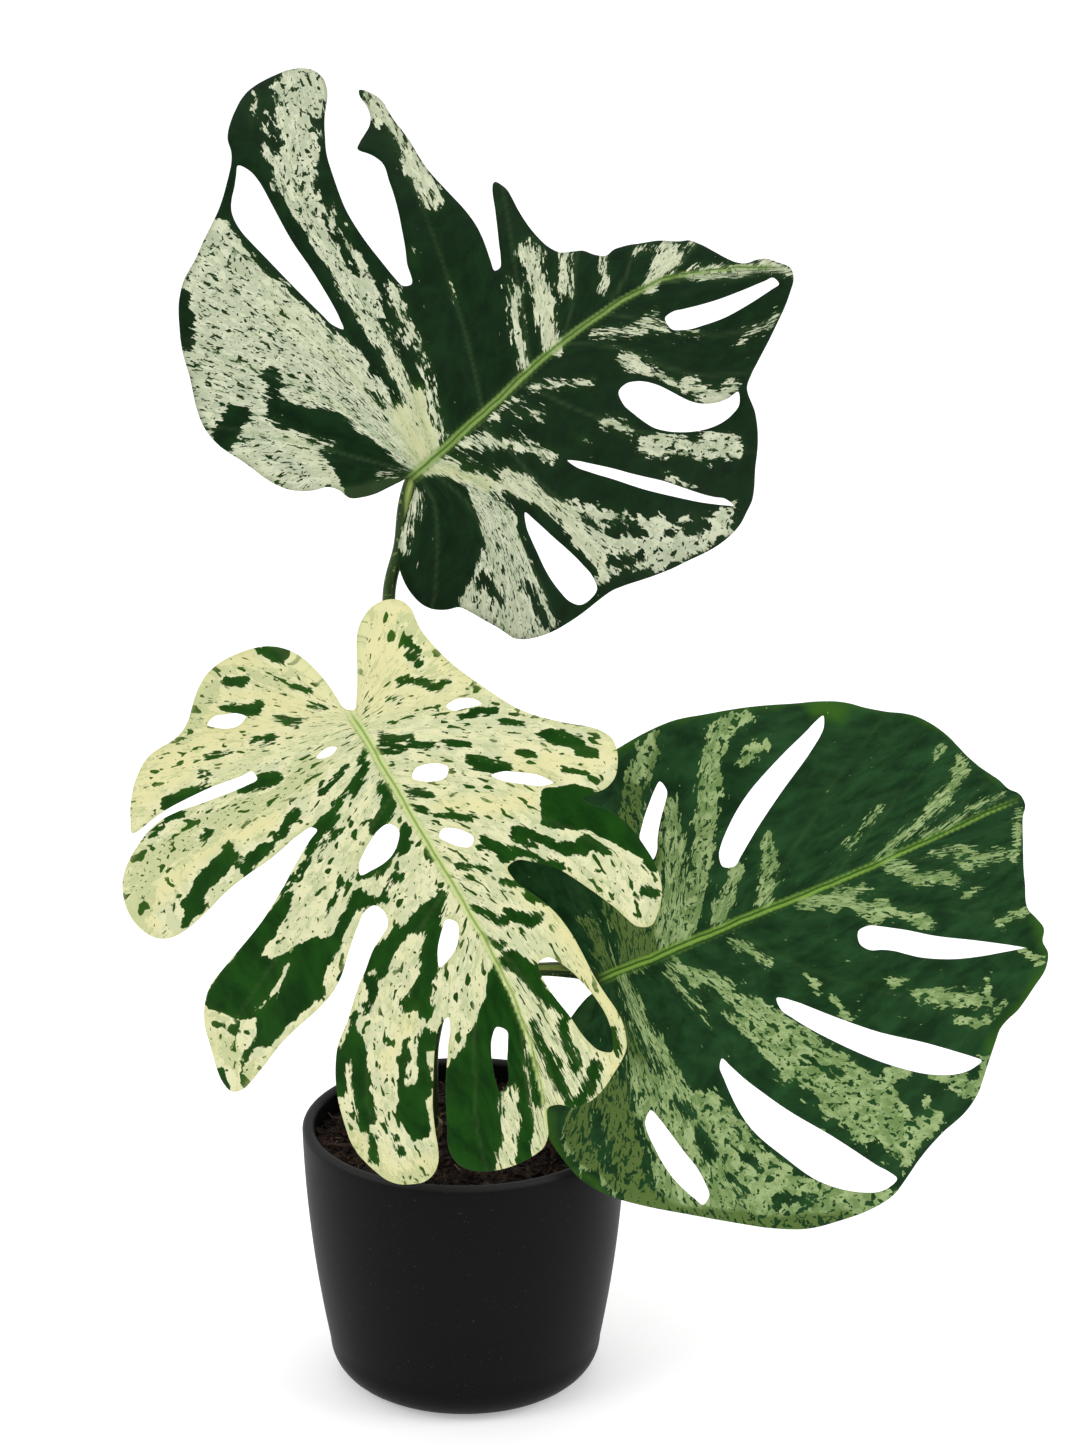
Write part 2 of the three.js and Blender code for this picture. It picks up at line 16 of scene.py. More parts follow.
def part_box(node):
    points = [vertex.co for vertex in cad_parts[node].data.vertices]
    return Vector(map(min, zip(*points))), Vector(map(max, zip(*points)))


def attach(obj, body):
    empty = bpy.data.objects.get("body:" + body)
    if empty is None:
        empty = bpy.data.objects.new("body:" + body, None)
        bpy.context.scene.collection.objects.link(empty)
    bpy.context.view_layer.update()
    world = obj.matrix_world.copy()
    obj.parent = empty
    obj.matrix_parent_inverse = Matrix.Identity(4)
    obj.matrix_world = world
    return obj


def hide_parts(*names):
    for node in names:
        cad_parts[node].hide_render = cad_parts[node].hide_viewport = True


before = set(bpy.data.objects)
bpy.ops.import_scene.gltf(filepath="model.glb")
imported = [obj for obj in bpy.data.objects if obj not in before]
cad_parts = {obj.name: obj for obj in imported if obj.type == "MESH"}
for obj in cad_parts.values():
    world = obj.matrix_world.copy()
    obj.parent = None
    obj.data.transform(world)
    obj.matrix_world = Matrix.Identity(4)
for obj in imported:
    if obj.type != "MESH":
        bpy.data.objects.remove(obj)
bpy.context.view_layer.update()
MM = 0.001
soil_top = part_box("soil")[1].z
pot_low, pot_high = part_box("pot")
stem_low, stem_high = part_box("stem")
print("nodes", sorted(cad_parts), "soil top at", round(soil_top, 4))

# %% [markdown]
# ## The camera and the light
# A plant like this is shown on plain white, with light from all round, so that no leaf throws a hard shadow
# on another. A long lens from a little above keeps the pot's sides nearly parallel. The white comes from a
# bright world and a pale floor, and three wide lamps give the leaves and the pot their soft gradients.

# %% Camera
camera = bpy.data.objects.new("camera", bpy.data.cameras.new("camera"))
camera.data.lens = 129.5
camera.data.sensor_width = 36
camera.data.clip_end = 50
camera.location = (0.0388, -2.3522, 1.1895)
camera.rotation_euler = (math.radians(70.2), 0, 0)
bpy.context.scene.collection.objects.link(camera)
bpy.context.scene.camera = camera
bpy.context.scene.view_settings.view_transform = "Standard"
print("camera", tuple(round(x, 3) for x in camera.location))


# %% Node helpers
def add_node(tree, kind, settings=None, **inputs):
    """Adds a node. An input is a number, a colour or another node's output, under its socket's name."""
    node = tree.nodes.new(kind)
    for name, value in (settings or {}).items():
        setattr(node, name, value)
    for name, value in inputs.items():
        key = name.replace("_", " ").strip()
        socket = node.inputs[int(key)] if key.isdigit() else node.inputs[key]
        if isinstance(value, bpy.types.NodeSocket):
            tree.links.new(value, socket)
        else:
            socket.default_value = value
    return node


def math_node(tree, operation, first, second=0.0, clamp=False):
    node = tree.nodes.new("ShaderNodeMath")
    node.operation = operation
    node.use_clamp = clamp
    for socket, value in zip(node.inputs, (first, second)):
        if isinstance(value, bpy.types.NodeSocket):
            tree.links.new(value, socket)
        else:
            socket.default_value = value
    return node.outputs[0]


def mix_colour(tree, share, first, second, blend="MIX"):
    node = tree.nodes.new("ShaderNodeMix")
    node.data_type = "RGBA"
    node.blend_type = blend
    for socket, value in zip((node.inputs[0], node.inputs[6], node.inputs[7]), (share, first, second)):
        if isinstance(value, bpy.types.NodeSocket):
            tree.links.new(value, socket)
        else:
            socket.default_value = value
    return node.outputs[2]


def step_up(tree, value, low, high):
    """0 under `low`, 1 over `high` and a ramp between them."""
    node = tree.nodes.new("ShaderNodeMapRange")
    tree.links.new(value, node.inputs["Value"])
    node.inputs["From Min"].default_value = low
    node.inputs["From Max"].default_value = high
    return node.outputs["Result"]


def colour(red, green, blue):
    """A colour given in the usual 0 to 255 of a paint chart, as the linear light that a shader wants."""
    linear = [(c / 255 / 12.92) if c / 255 <= 0.04045 else ((c / 255 + 0.055) / 1.055) ** 2.4
              for c in (red, green, blue)]
    return (*linear, 1.0)


def new_material(name):
    material = bpy.data.materials.new(name)
    material.use_nodes = True
    tree = material.node_tree
    return material, tree, tree.nodes["Principled BSDF"]


def add_piece(name, points, faces, material, nodes):
    """A smooth mesh in metres that rides on the root body and stands for the CAD nodes named."""
    mesh = bpy.data.meshes.new(name)
    mesh.from_pydata([tuple(p) for p in points], [], [tuple(f) for f in faces])
    mesh.update()
    mesh.polygons.foreach_set("use_smooth", [True] * len(mesh.polygons))
    mesh.materials.append(material)
    piece = bpy.data.objects.new(name, mesh)
    bpy.context.scene.collection.objects.link(piece)
    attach(piece, "root")
    if nodes:
        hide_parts(*nodes)
    print(name, len(mesh.vertices), "points", len(mesh.polygons), "faces")
    return piece


# %% Floor, world and lamps
floor_material, tree, shader = new_material("floor_white")
shader.inputs["Roughness"].default_value = 0.9
shader.inputs["Specular IOR Level"].default_value = 0.0
shader.inputs["Base Color"].default_value = (0.9, 0.9, 0.9, 1)
shader.inputs["Emission Color"].default_value = (1, 1, 1, 1)
shader.inputs["Emission Strength"].default_value = 0.32
floor_mesh = bpy.data.meshes.new("floor")
reach = 9.0
floor_mesh.from_pydata([(-reach, -reach, 0), (reach, -reach, 0), (reach, reach, 0), (-reach, reach, 0)],
                       [], [(0, 1, 2, 3)])
floor_mesh.materials.append(floor_material)
floor = bpy.data.objects.new("floor", floor_mesh)
bpy.context.scene.collection.objects.link(floor)

world = bpy.data.worlds.new("studio")
world.use_nodes = True
background = world.node_tree.nodes["Background"]
background.inputs["Color"].default_value = (1, 1, 1, 1)
background.inputs["Strength"].default_value = 0.70
bpy.context.scene.world = world


def add_lamp(name, place, target, size, power):
    lamp = bpy.data.lights.new(name, "AREA")
    lamp.shape = "DISK"
    lamp.size = size
    lamp.energy = power
    holder = bpy.data.objects.new(name, lamp)
    holder.location = place
    holder.rotation_euler = (Vector(target) - Vector(place)).to_track_quat("-Z", "Y").to_euler()
    bpy.context.scene.collection.objects.link(holder)


plant_middle = (0, 0, 0.3)
add_lamp("lamp_left", (-2.2, -1.6, 2.2), plant_middle, 1.8, 30)
add_lamp("lamp_right", (2.4, -0.9, 1.9), plant_middle, 1.8, 27)
add_lamp("lamp_top", (0.2, 1.0, 3.0), plant_middle, 2.4, 24)

# %% [markdown]
# ## The shape of a leaf blade
# A monstera's blade is one thin sheet, a little under a millimetre thick. It folds softly along its midrib
# and droops to its edges. The holes and slots lie between the side veins, because that is where the tissue
# stops growing. The frame's blades are plain bent sheets, so a finer sheet is laid over each one. Its
# outline comes from the frame's own mesh, and its height from the same rule that bent the frame's sheet,
# with the midrib, side veins and swells added.

# %% The three blades
# Lengths are millimetres in the blade's own frame: x runs across it, y from the petiole joint to the tip.
upper = {
    "name": "leaf_upper", "joint": (-22.2, 25, 334.9), "facing": 18, "tilt": 36, "heading": 31.6,
    "rib_length": 250, "fold": (0.12, 0.6), "cup": (3, 8), "arc": 22, "arc_run": 171, "back_cup": 0,
    "wave": 1.5,
    "midrib": [(0, 0), (-2, 30), (-4, 60), (-7, 90), (-8, 120), (-7, 150), (-4, 180), (5, 203), (14, 223),
               (24, 240), (30, 250)],
}
front = {
    "name": "leaf_front", "joint": (-50.9, -38, 234.4), "facing": -8, "tilt": 22, "heading": -60.5,
    "rib_length": 218, "fold": (0.16, 0.16), "cup": (12, 14), "arc": 14, "arc_run": 216, "back_cup": 8,
    "wave": 1.5,
    "midrib": [(0, 0), (-2, 20), (-4, 50), (-7, 90), (-9, 120), (-9, 150), (-6, 175), (0, 200), (6, 218)],
}
right = {
    "name": "leaf_right", "joint": (69.1, -38, 102.6), "facing": 12, "tilt": 30, "heading": 18.3,
    "rib_length": 235, "fold": (0.14, 0.14), "cup": (10, 12), "arc": 18, "arc_run": 230, "back_cup": 6,
    "wave": 2,
    "midrib": [(0, 0), (1, 40), (1, 80), (2, 110), (2, 140), (1, 180), (0, 215), (0, 235)],
}


def blade_matrix(leaf):
    """From the blade's frame to the row's frame, both in millimetres."""
    facing, tilt, heading = (math.radians(leaf[k]) for k in ("facing", "tilt", "heading"))
    normal = Vector((math.cos(tilt) * math.sin(facing), -math.cos(tilt) * math.cos(facing), math.sin(tilt)))
    level = Vector((math.cos(facing), math.sin(facing), 0))
    uphill = normal.cross(level)
    along = level * math.cos(heading) + uphill * math.sin(heading)
    across = along.cross(normal)
    matrix = Matrix((across, along, normal)).transposed().to_4x4()
    x, y, over_soil = leaf["joint"]
    matrix.translation = Vector((x, y, soil_top / MM + over_soil))
    return matrix


for leaf in (upper, front, right):
    leaf["matrix"] = blade_matrix(leaf)
    print(leaf["name"], "joint", [round(v, 1) for v in leaf["matrix"].translation])

# %% [markdown]
# ## The side veins
# Side veins fan out from the joint into the back lobes and then leave the midrib one after another. They
# are listed, a few points each, from the back lobe to the tip. Each is drawn a little past the edge.
# Everything that follows the veins comes from them: the ribs, the swells between them and the streaks of
# colour, which run along the veins because each streak is one line of cells that grew outwards.

# %% Side veins, drawn from the back lobe to the tip
upper["left"] = [
    [(0, 0), (-10, -20), (-20, -40), (-28, -62)], [(0, 1), (-30, -20), (-65, -45), (-92, -70)],
    [(0, 3), (-50, -5), (-105, -30), (-150, -48)], [(0, 6), (-55, 12), (-115, 12), (-180, 0)],
    [(-2, 14), (-50, 36), (-100, 50), (-150, 64), (-210, 98)],
    [(-5, 50), (-45, 75), (-90, 98), (-130, 117), (-180, 140)],
    [(-6, 84), (-30, 103), (-60, 125), (-100, 158)], [(-8, 110), (-20, 128), (-38, 150), (-55, 178)],
    [(-7, 140), (-15, 162), (-28, 190), (-38, 215)], [(-3, 182), (-6, 200), (-10, 220), (-14, 240)],
    [(14, 223), (15, 235), (17, 250), (18, 264)], [(30, 250), (30, 254), (30, 260), (30, 268)]]
upper["right"] = [
    [(0, -1), (8, -18), (18, -32), (26, -48)], [(1, 2), (20, -2), (45, -20), (64, -40)],
    [(1, 7), (30, 16), (60, 10), (100, -8)], [(1, 14), (30, 30), (60, 32), (108, 30)],
    [(0, 44), (35, 56), (70, 74), (115, 100)], [(-4, 74), (28, 102), (58, 137), (84, 178), (98, 205)],
    [(-7, 108), (10, 134), (35, 160), (52, 190), (62, 215)],
    [(-7, 138), (10, 160), (33, 192), (44, 225), (48, 255)], [(-5, 172), (5, 195), (18, 220), (28, 248)],
    [(24, 240), (28, 248), (32, 256), (36, 266)]]
front["left"] = [
    [(-1, -2), (-14, -20), (-25, -38), (-33, -60)], [(-2, 3), (-25, 0), (-48, 2), (-78, 6)],
    [(-3, 12), (-30, 25), (-60, 42), (-95, 64), (-118, 78)],
    [(-4, 40), (-30, 56), (-55, 78), (-78, 108), (-88, 138), (-92, 162)],
    [(-7, 78), (-25, 98), (-38, 125), (-45, 160), (-46, 190), (-44, 222)],
    [(-9, 115), (-16, 140), (-20, 170), (-22, 200), (-22, 225)],
    [(-8, 160), (-8, 180), (-7, 202), (-6, 225)], [(0, 200), (2, 210), (3, 222), (4, 238)]]
front["right"] = [
    [(0, -2), (8, -22), (18, -42), (25, -64)], [(1, 0), (30, -15), (65, -35), (110, -60)],
    [(1, 4), (40, -1), (80, -12), (140, -22)], [(-2, 14), (40, 19), (90, 21), (160, 26)],
    [(-3, 40), (40, 62), (85, 82), (160, 118)],
    [(-7, 90), (25, 108), (55, 130), (78, 160), (84, 190), (85, 225)],
    [(-9, 120), (8, 145), (22, 170), (36, 200), (44, 235)], [(-6, 165), (2, 185), (10, 210), (14, 235)],
    [(4, 212), (6, 220), (8, 230), (10, 240)]]
right["left"] = [
    [(-1, -2), (-25, -12), (-60, -22), (-100, -36)], [(-1, 5), (-35, 8), (-70, 5), (-112, 0)],
    [(0, 20), (-30, 32), (-70, 45), (-118, 56)], [(0, 40), (-30, 60), (-60, 85), (-95, 115), (-118, 138)],
    [(1, 80), (-20, 112), (-45, 152), (-65, 190), (-82, 220)],
    [(2, 120), (-12, 150), (-28, 185), (-42, 228)], [(1, 170), (-6, 195), (-14, 220), (-20, 245)],
    [(0, 230), (0, 236), (0, 244), (0, 255)]]
right["right"] = [
    [(1, -3), (20, -20), (45, -40), (72, -68)], [(1, 2), (35, -5), (70, -18), (118, -42)],
    [(1, 10), (40, 12), (85, 20), (130, 30), (168, 44)],
    [(1, 28), (40, 52), (85, 80), (125, 115), (160, 142)],
    [(1, 65), (35, 95), (65, 135), (85, 175), (100, 218)],
    [(2, 105), (15, 130), (32, 165), (48, 200), (60, 240)], [(1, 150), (10, 180), (20, 210), (28, 242)],
    [(0, 230), (1, 237), (1, 245), (2, 255)]]


def even_points(line, count):
    """`count` points at even distances along a smooth curve through the points of a line."""
    line = np.array(line, float)
    padded = np.vstack([2 * line[0] - line[1], line, 2 * line[-1] - line[-2]])
    fine = []
    for p0, p1, p2, p3 in zip(padded, padded[1:], padded[2:], padded[3:]):
        t = np.linspace(0, 1, 20, endpoint=False)[:, None]
        fine.append(0.5 * (2 * p1 + (p2 - p0) * t + (2 * p0 - 5 * p1 + 4 * p2 - p3) * t**2
                           + (3 * p1 - p0 - 3 * p2 + p3) * t**3))
    fine = np.vstack([*fine, line[-1:]])
    run = np.concatenate([[0], np.cumsum(np.linalg.norm(np.diff(fine, axis=0), axis=1))])
    at = np.linspace(0, run[-1], count)
    return np.column_stack([np.interp(at, run, fine[:, k]) for k in range(fine.shape[1])])


VEIN_STEPS = 60
ROWS_PER_VEIN = 10


def vein_fan(lines):
    """A grid of points: each row is a vein, or one of the lines spread evenly between two veins."""
    veins = [even_points(line, VEIN_STEPS) for line in lines]
    rows = []
    for a, b in zip(veins, veins[1:]):
        rows += [a + (b - a) * k / ROWS_PER_VEIN for k in range(ROWS_PER_VEIN)]
    return np.array([*rows, veins[-1]])


def follow_veins(grid, places):
    """For each place: which vein it lies by, its distance out along it, and the gap between two veins."""
    rows, steps, _ = grid.shape
    tree = kdtree.KDTree(rows * steps)
    for k, p in enumerate(grid.reshape(-1, 2)):
        tree.insert((*p, 0), k)
    tree.balance()
    near = np.array([tree.find((*p, 0))[1] for p in places])
    row, step = near // steps, near % steps
    by_row, by_step = np.gradient(grid, axis=0)[row, step], np.gradient(grid, axis=1)[row, step]
    off = places - grid[row, step]
    cross = by_row[:, 0] * by_step[:, 1] - by_row[:, 1] * by_step[:, 0]
    cross = np.where(np.abs(cross) < 1e-6, 1e-6, cross)
    d_row = np.clip((off[:, 0] * by_step[:, 1] - off[:, 1] * by_step[:, 0]) / cross, -0.7, 0.7)
    d_step = np.clip((by_row[:, 0] * off[:, 1] - by_row[:, 1] * off[:, 0]) / cross, -0.7, 0.7)
    stride = np.linalg.norm(by_step, axis=1)
    vein = np.clip((row + d_row) / ROWS_PER_VEIN, 0, (rows - 1) / ROWS_PER_VEIN)
    return vein, (step + d_step) * stride, np.abs(cross) / np.maximum(stride, 1e-6) * ROWS_PER_VEIN


for leaf in (upper, front, right):
    leaf["fans"] = [vein_fan(leaf[side]) for side in ("left", "right")]
    print(leaf["name"], "veins", len(leaf["left"]), "+", len(leaf["right"]))


# %% Outlines from the frame's blades
def outline_loops(leaf):
    """The outline and the holes of a frame blade's upper face, as loops of points in the blade's frame."""
    bm = bmesh.new()
    bm.from_mesh(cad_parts[leaf["name"]].data)
    bm.transform(leaf["matrix"].inverted() @ Matrix.Scale(1 / MM, 4))
    bmesh.ops.remove_doubles(bm, verts=bm.verts, dist=0.005)
    bm.normal_update()
    level = 0.03
    ring = {}
    for edge in bm.edges:
        heights = sorted(face.normal.z for face in edge.link_faces)
        if len(heights) == 2 and abs(heights[0]) < level < heights[1]:
            a, b = edge.verts
            ring.setdefault(a, []).append(b)
            ring.setdefault(b, []).append(a)
    loops = []
    while ring:
        start = next(iter(ring))
        loop, here = [], start
        while here in ring:
            loop.append(here.co.xy.copy())
            ahead = [v for v in ring.pop(here) if v in ring]
            if not ahead:
                break
            here = ahead[0]
        loops.append(np.array(loop))
    bm.free()
    return loops


def drop_straight(loop, flat):
    """The loop without the points that lie on the line between their neighbours."""
    keep = []
    for before, here, after in zip(np.roll(loop, 1, 0), loop, np.roll(loop, -1, 0)):
        along = after - before
        away = abs(along[0] * (here - before)[1] - along[1] * (here - before)[0])
        if away / max(np.linalg.norm(along), 1e-9) > flat:
            keep.append(here)
    return np.array(keep)


def smooth_loop(loop, step):
    """A closed smooth curve through the loop's points, in pieces about `step` long."""
    out = []
    count = len(loop)
    for i in range(count):
        p0, p1, p2, p3 = (loop[(i + k) % count] for k in (-1, 0, 1, 2))
        d1, d2, d3 = (max(np.linalg.norm(v), 1e-6) for v in (p1 - p0, p2 - p1, p3 - p2))
        leave = d2 * ((p1 - p0) / d1 - (p2 - p0) / (d1 + d2) + (p2 - p1) / d2)
        arrive = d2 * ((p2 - p1) / d2 - (p3 - p1) / (d2 + d3) + (p3 - p2) / d3)
        parts = max(1, round(d2 / step))
        for k in range(parts):
            t = k / parts
            out.append((2 * t**3 - 3 * t**2 + 1) * p1 + (t**3 - 2 * t**2 + t) * leave
                       + (3 * t**2 - 2 * t**3) * p2 + (t**3 - t**2) * arrive)
    return np.array(out)


def is_inside(places, loops):
    """True where a place lies in the outline and in none of its holes."""
    odd = np.zeros(len(places), bool)
    x, y = places.T
    for loop in loops:
        for (ax, ay), (bx, by) in zip(loop, np.roll(loop, -1, 0)):
            if ay != by:
                odd ^= ((ay > y) != (by > y)) & (x < (bx - ax) * (y - ay) / (by - ay) + ax)
    return odd


EDGE_STEP = 1.6
SHEET_STEP = 1.9
for leaf in (upper, front, right):
    loops = [drop_straight(loop, 0.01) for loop in outline_loops(leaf) if len(loop) > 5]
    leaf["loops"] = [smooth_loop(loop, EDGE_STEP) for loop in loops if len(loop) > 5]
    print(leaf["name"], "loops", len(leaf["loops"]), "edge points", sum(len(l) for l in leaf["loops"]))


# %% Flat sheets of triangles
def flat_sheet(leaf):
    """Triangles that fill the outline, round the holes: places in the blade's plane, and corners."""
    loops = leaf["loops"]
    edge = np.vstack(loops)
    low, high = edge.min(0), edge.max(0)
    rows = np.arange(low[1], high[1], SHEET_STEP * 0.866)
    places = [(x, y) for k, y in enumerate(rows)
              for x in np.arange(low[0] + (k % 2) * SHEET_STEP / 2, high[0], SHEET_STEP)]
    places = np.array(places)
    places = places[is_inside(places, loops)]
    near = kdtree.KDTree(len(edge))
    for k, p in enumerate(edge):
        near.insert((*p, 0), k)
    near.balance()
    away = np.array([near.find((*p, 0))[2] for p in places])
    places = places[away > SHEET_STEP * 0.6]
    links, start = [], 0
    for loop in loops:
        links += [(start + k, start + (k + 1) % len(loop)) for k in range(len(loop))]
        start += len(loop)
    cloud = [Vector(p) for p in np.vstack([edge, places])]
    corners, _, faces, *_ = delaunay_2d_cdt(cloud, links, [], 0, 1e-4)
    corners = np.array([tuple(p) for p in corners])
    faces = np.array(faces)
    faces = faces[is_inside(corners[faces].mean(1), loops)]
    a, b, c = (corners[faces[:, k]] for k in range(3))
    turn = (b - a)[:, 0] * (c - a)[:, 1] - (b - a)[:, 1] * (c - a)[:, 0]
    faces[turn < 0] = faces[turn < 0][:, ::-1]
    return corners, faces[np.abs(turn) > 1e-7]


def rim_of(faces):
    """The directed edges that only one triangle uses."""
    ways = {}
    for a, b, c in faces:
        for way in ((a, b), (b, c), (c, a)):
            ways[way] = True
    return [way for way in ways if way[::-1] not in ways]


for leaf in (upper, front, right):
    leaf["places"], leaf["faces"] = flat_sheet(leaf)
    leaf["rim"] = rim_of(leaf["faces"].tolist())
    print(leaf["name"], len(leaf["places"]), "places", len(leaf["faces"]), "triangles")

# %% [markdown]
# ## The colour of a leaf
# Variegation is a patchwork of two kinds of cells: green ones and ones that make no green. A line of cells
# that turned pale early gives a wide sector, and one that turned late gives a fleck. So the colour is laid
# on in two steps. Wide sectors are brushed on here, as strokes over the sheet, and kept at each
# point of the mesh. The material then breaks their borders into jagged streaks and flecks along the veins.

# %% Finishes that a stroke can lay down
# Shares of pale tissue, of sage tissue, of dark flecks in them, and of yellow in the colour.
FINISHES = {
    "green": (-0.9, -1.2, 0.0, 0.0),
    "fresh": (-0.9, -1.2, 0.0, 1.0),
    "cream": (1.7, 0.2, 0.68, 0.3),
    "butter": (1.8, 0.1, 0.55, 1.0),
    "speckled": (1.3, 0.6, 0.85, 0.1),
    "streaked": (0.9, 0.4, 0.5, 0.15),
    "sage": (-0.5, 1.9, 0.9, 0.2),
    "moss": (-0.6, 1.25, 0.9, -0.6),
    "tan": (1.7, 1.3, 0.8, 0.7),
}

# A stroke is a finish, its half width and its line. A line that ends where it began is a filled patch, and
# its number is the softness of the patch's border.
upper["base"] = "green"
upper["strokes"] = [
    ("speckled", 4, [(0, 4), (-20, 14), (-60, 22), (-80, 20), (-110, 18), (-160, 28), (-168, 10), (-145, -35),
                     (-105, -58), (-72, -70), (-40, -64), (-15, -42), (-2, -4), (0, 4)]),
    ("green", 4, [(-150, 24), (-120, 23), (-95, 26), (-70, 28)]),
    ("streaked", 3, [(-150, 20), (-110, 17), (-75, 20)]),
    ("green", 2.5, [(-1, -2), (-30, -6), (-52, -10), (-66, -27), (-62, -35), (-42, -29), (-24, -30),
                    (-8, -36), (3, -16), (-1, -2)]),
    ("green", 5.5, [(-77, -45), (-70, -60)]),
    ("green", 5, [(-140, -24), (-122, -38)]),
    ("green", 4, [(-82, -20), (-66, -31)]),
    ("streaked", 2, [(-46, -28), (-36, -21)]),
    ("streaked", 1.5, [(-12, -14), (-6, -8)]),
    ("cream", 4, [(-50, -36), (-32, -33), (-18, -38)]),
    ("cream", 3, [(-34, -54), (-58, -57)]),
    ("cream", 3, [(-20, 8), (-60, 13), (-110, 6)]),
    ("cream", 4.5, [(-10, 15), (-30, 25), (-58, 34), (-85, 43)]),
    ("speckled", 9, [(-60, 38), (-100, 50), (-140, 60), (-168, 66)]),
    ("speckled", 14, [(-160, 70), (-180, 88), (-192, 110)]),
    ("green", 5, [(-204, 88), (-196, 68), (-180, 54), (-168, 54)]),
    ("streaked", 1.5, [(-200, 84), (-192, 72)]),
    ("green", 5, [(-150, 84), (-125, 74), (-95, 68), (-70, 62), (-45, 52)]),
    ("green", 3, [(-170, 98), (-156, 88), (-140, 80)]),
    ("green", 2.5, [(-196, 92), (-184, 80), (-172, 70)]),
    ("green", 2.2, [(-165, 50), (-125, 42), (-88, 33)]),
    ("green", 1.4, [(-130, 62), (-112, 56), (-98, 53)]),
    ("streaked", 1.4, [(-132, 70), (-116, 66)]),
    ("streaked", 3, [(-82, 62), (-60, 53), (-30, 38), (-8, 26)]),
    ("green", 1.4, [(-70, 46), (-48, 38), (-30, 29)]),
    ("green", 1.4, [(-58, 28), (-40, 22), (-26, 17)]),
    ("green", 1.3, [(-46, 12), (-30, 10)]),
    ("green", 2.2, [(-78, 25), (-60, 29)]),
    ("butter", 4, [(-2, 6), (-12, 10), (-28, 17)]),
    ("butter", 3, [(-3, 12), (-14, 20), (-30, 30)]),
    ("streaked", 6.5, [(-104, 112), (-125, 120), (-150, 128), (-172, 134)]),
    ("green", 3, [(-125, 106), (-140, 112), (-152, 116)]),
    ("green", 1.2, [(-150, 125), (-134, 119)]),
    ("streaked", 1.6, [(-90, 84), (-85, 82)]),
    ("streaked", 1.4, [(-64, 87), (-58, 82)]),
    ("streaked", 1.3, [(-50, 111), (-44, 108)]),
    ("streaked", 5.5, [(-55, 130), (-38, 122), (-24, 112), (-10, 103)]),
    ("cream", 3, [(-30, 118), (-18, 109), (-8, 102)]),
    ("streaked", 4, [(-42, 109), (-30, 97), (-20, 90), (-9, 82)]),
    ("streaked", 4.5, [(-42, 146), (-34, 138), (-28, 130)]),
    ("streaked", 1.5, [(-58, 138), (-48, 134)]),
    ("streaked", 3, [(-30, 163), (-22, 154), (-17, 147)]),
    ("streaked", 4.5, [(-4, 168), (-10, 184), (-16, 200)]),
    ("streaked", 1.8, [(-20, 190), (-24, 178)]),
    ("streaked", 2.2, [(-9, 202), (-10, 214)]),
    ("cream", 2.4, [(-5, 172), (-9, 184), (-8, 196)]),
    ("streaked", 2.6, [(0, 190), (6, 208), (14, 228)]),
    ("streaked", 2.6, [(4, 196), (14, 214), (22, 238)]),
    ("streaked", 4, [(20, 238), (30, 250)]),
    ("streaked", 2.2, [(42, 202), (43, 214), (44, 226)]),
    ("streaked", 5, [(16, 134), (28, 147), (42, 160), (54, 172), (58, 184)]),
    ("green", 1.4, [(24, 146), (36, 158)]),
    ("streaked", 3.4, [(33, 106), (44, 118)]),
    ("streaked", 1.8, [(22, 172), (26, 182)]),
    ("speckled", 5, [(54, 122), (62, 138), (70, 154), (79, 173)]),
    ("streaked", 2.6, [(-3, 126), (4, 138), (10, 152), (15, 168)]),
    ("streaked", 1.6, [(7, 150), (8, 166)]),
    ("streaked", 2.6, [(1, 80), (8, 94), (16, 110)]),
    ("streaked", 1.8, [(18, 134), (28, 144)]),
    ("streaked", 1.3, [(30, 86), (38, 94)]),
    ("streaked", 1.5, [(68, 124), (84, 138)]),
    ("speckled", 5, [(36, 50), (54, 62), (58, 78), (68, 92), (78, 104), (87, 118), (95, 134), (102, 160),
                     (110, 152), (110, 128), (105, 104), (100, 80), (95, 60), (76, 59), (60, 56), (44, 50),
                     (36, 50)]),
    ("green", 1.5, [(92, 112), (97, 128), (101, 140)]),
    ("green", 3, [(54, 76), (64, 92), (76, 106)]),
    ("green", 1.8, [(86, 72), (94, 92)]),
    ("green", 1.6, [(72, 80), (86, 100)]),
    ("green", 1.5, [(64, 70), (78, 84)]),
    ("green", 3.4, [(94, 64), (100, 80), (106, 96)]),
    ("cream", 4, [(34, 48), (56, 61), (82, 66)]),
    ("streaked", 3.4, [(3, 30), (10, 46), (20, 58), (32, 71)]),
    ("streaked", 2, [(8, 64), (14, 76)]),
    ("cream", 5, [(4, 14), (20, 32), (38, 50)]),
    ("speckled", 3, [(6, 8), (20, 26), (42, 36), (60, 34), (94, 32), (98, 12), (76, -6), (60, -18), (52, 2),
                     (40, 13), (20, 18), (6, 8)]),
    ("butter", 3, [(3, 8), (12, 20), (24, 32)]),
    ("green", 3.6, [(50, 37), (74, 36), (94, 38), (95, 52)]),
    ("green", 2.5, [(56, 52), (84, 62)]),
    ("green", 2, [(72, 24), (90, 24)]),
    ("green", 3, [(58, 4), (68, 6)]),
    ("green", 1.5, [(10, 24), (22, 38)]),
    ("green", 1.2, [(4, -4), (7, 12), (20, 18), (34, 16), (46, 7), (54, -8), (62, -18), (50, -34), (34, -40),
                    (22, -30), (18, -18), (4, -4)]),
    ("streaked", 3.6, [(7, -4), (15, -14), (22, -26)]),
    ("streaked", 1.4, [(2, 48), (1, 70)]),
]
front["base"] = "cream"
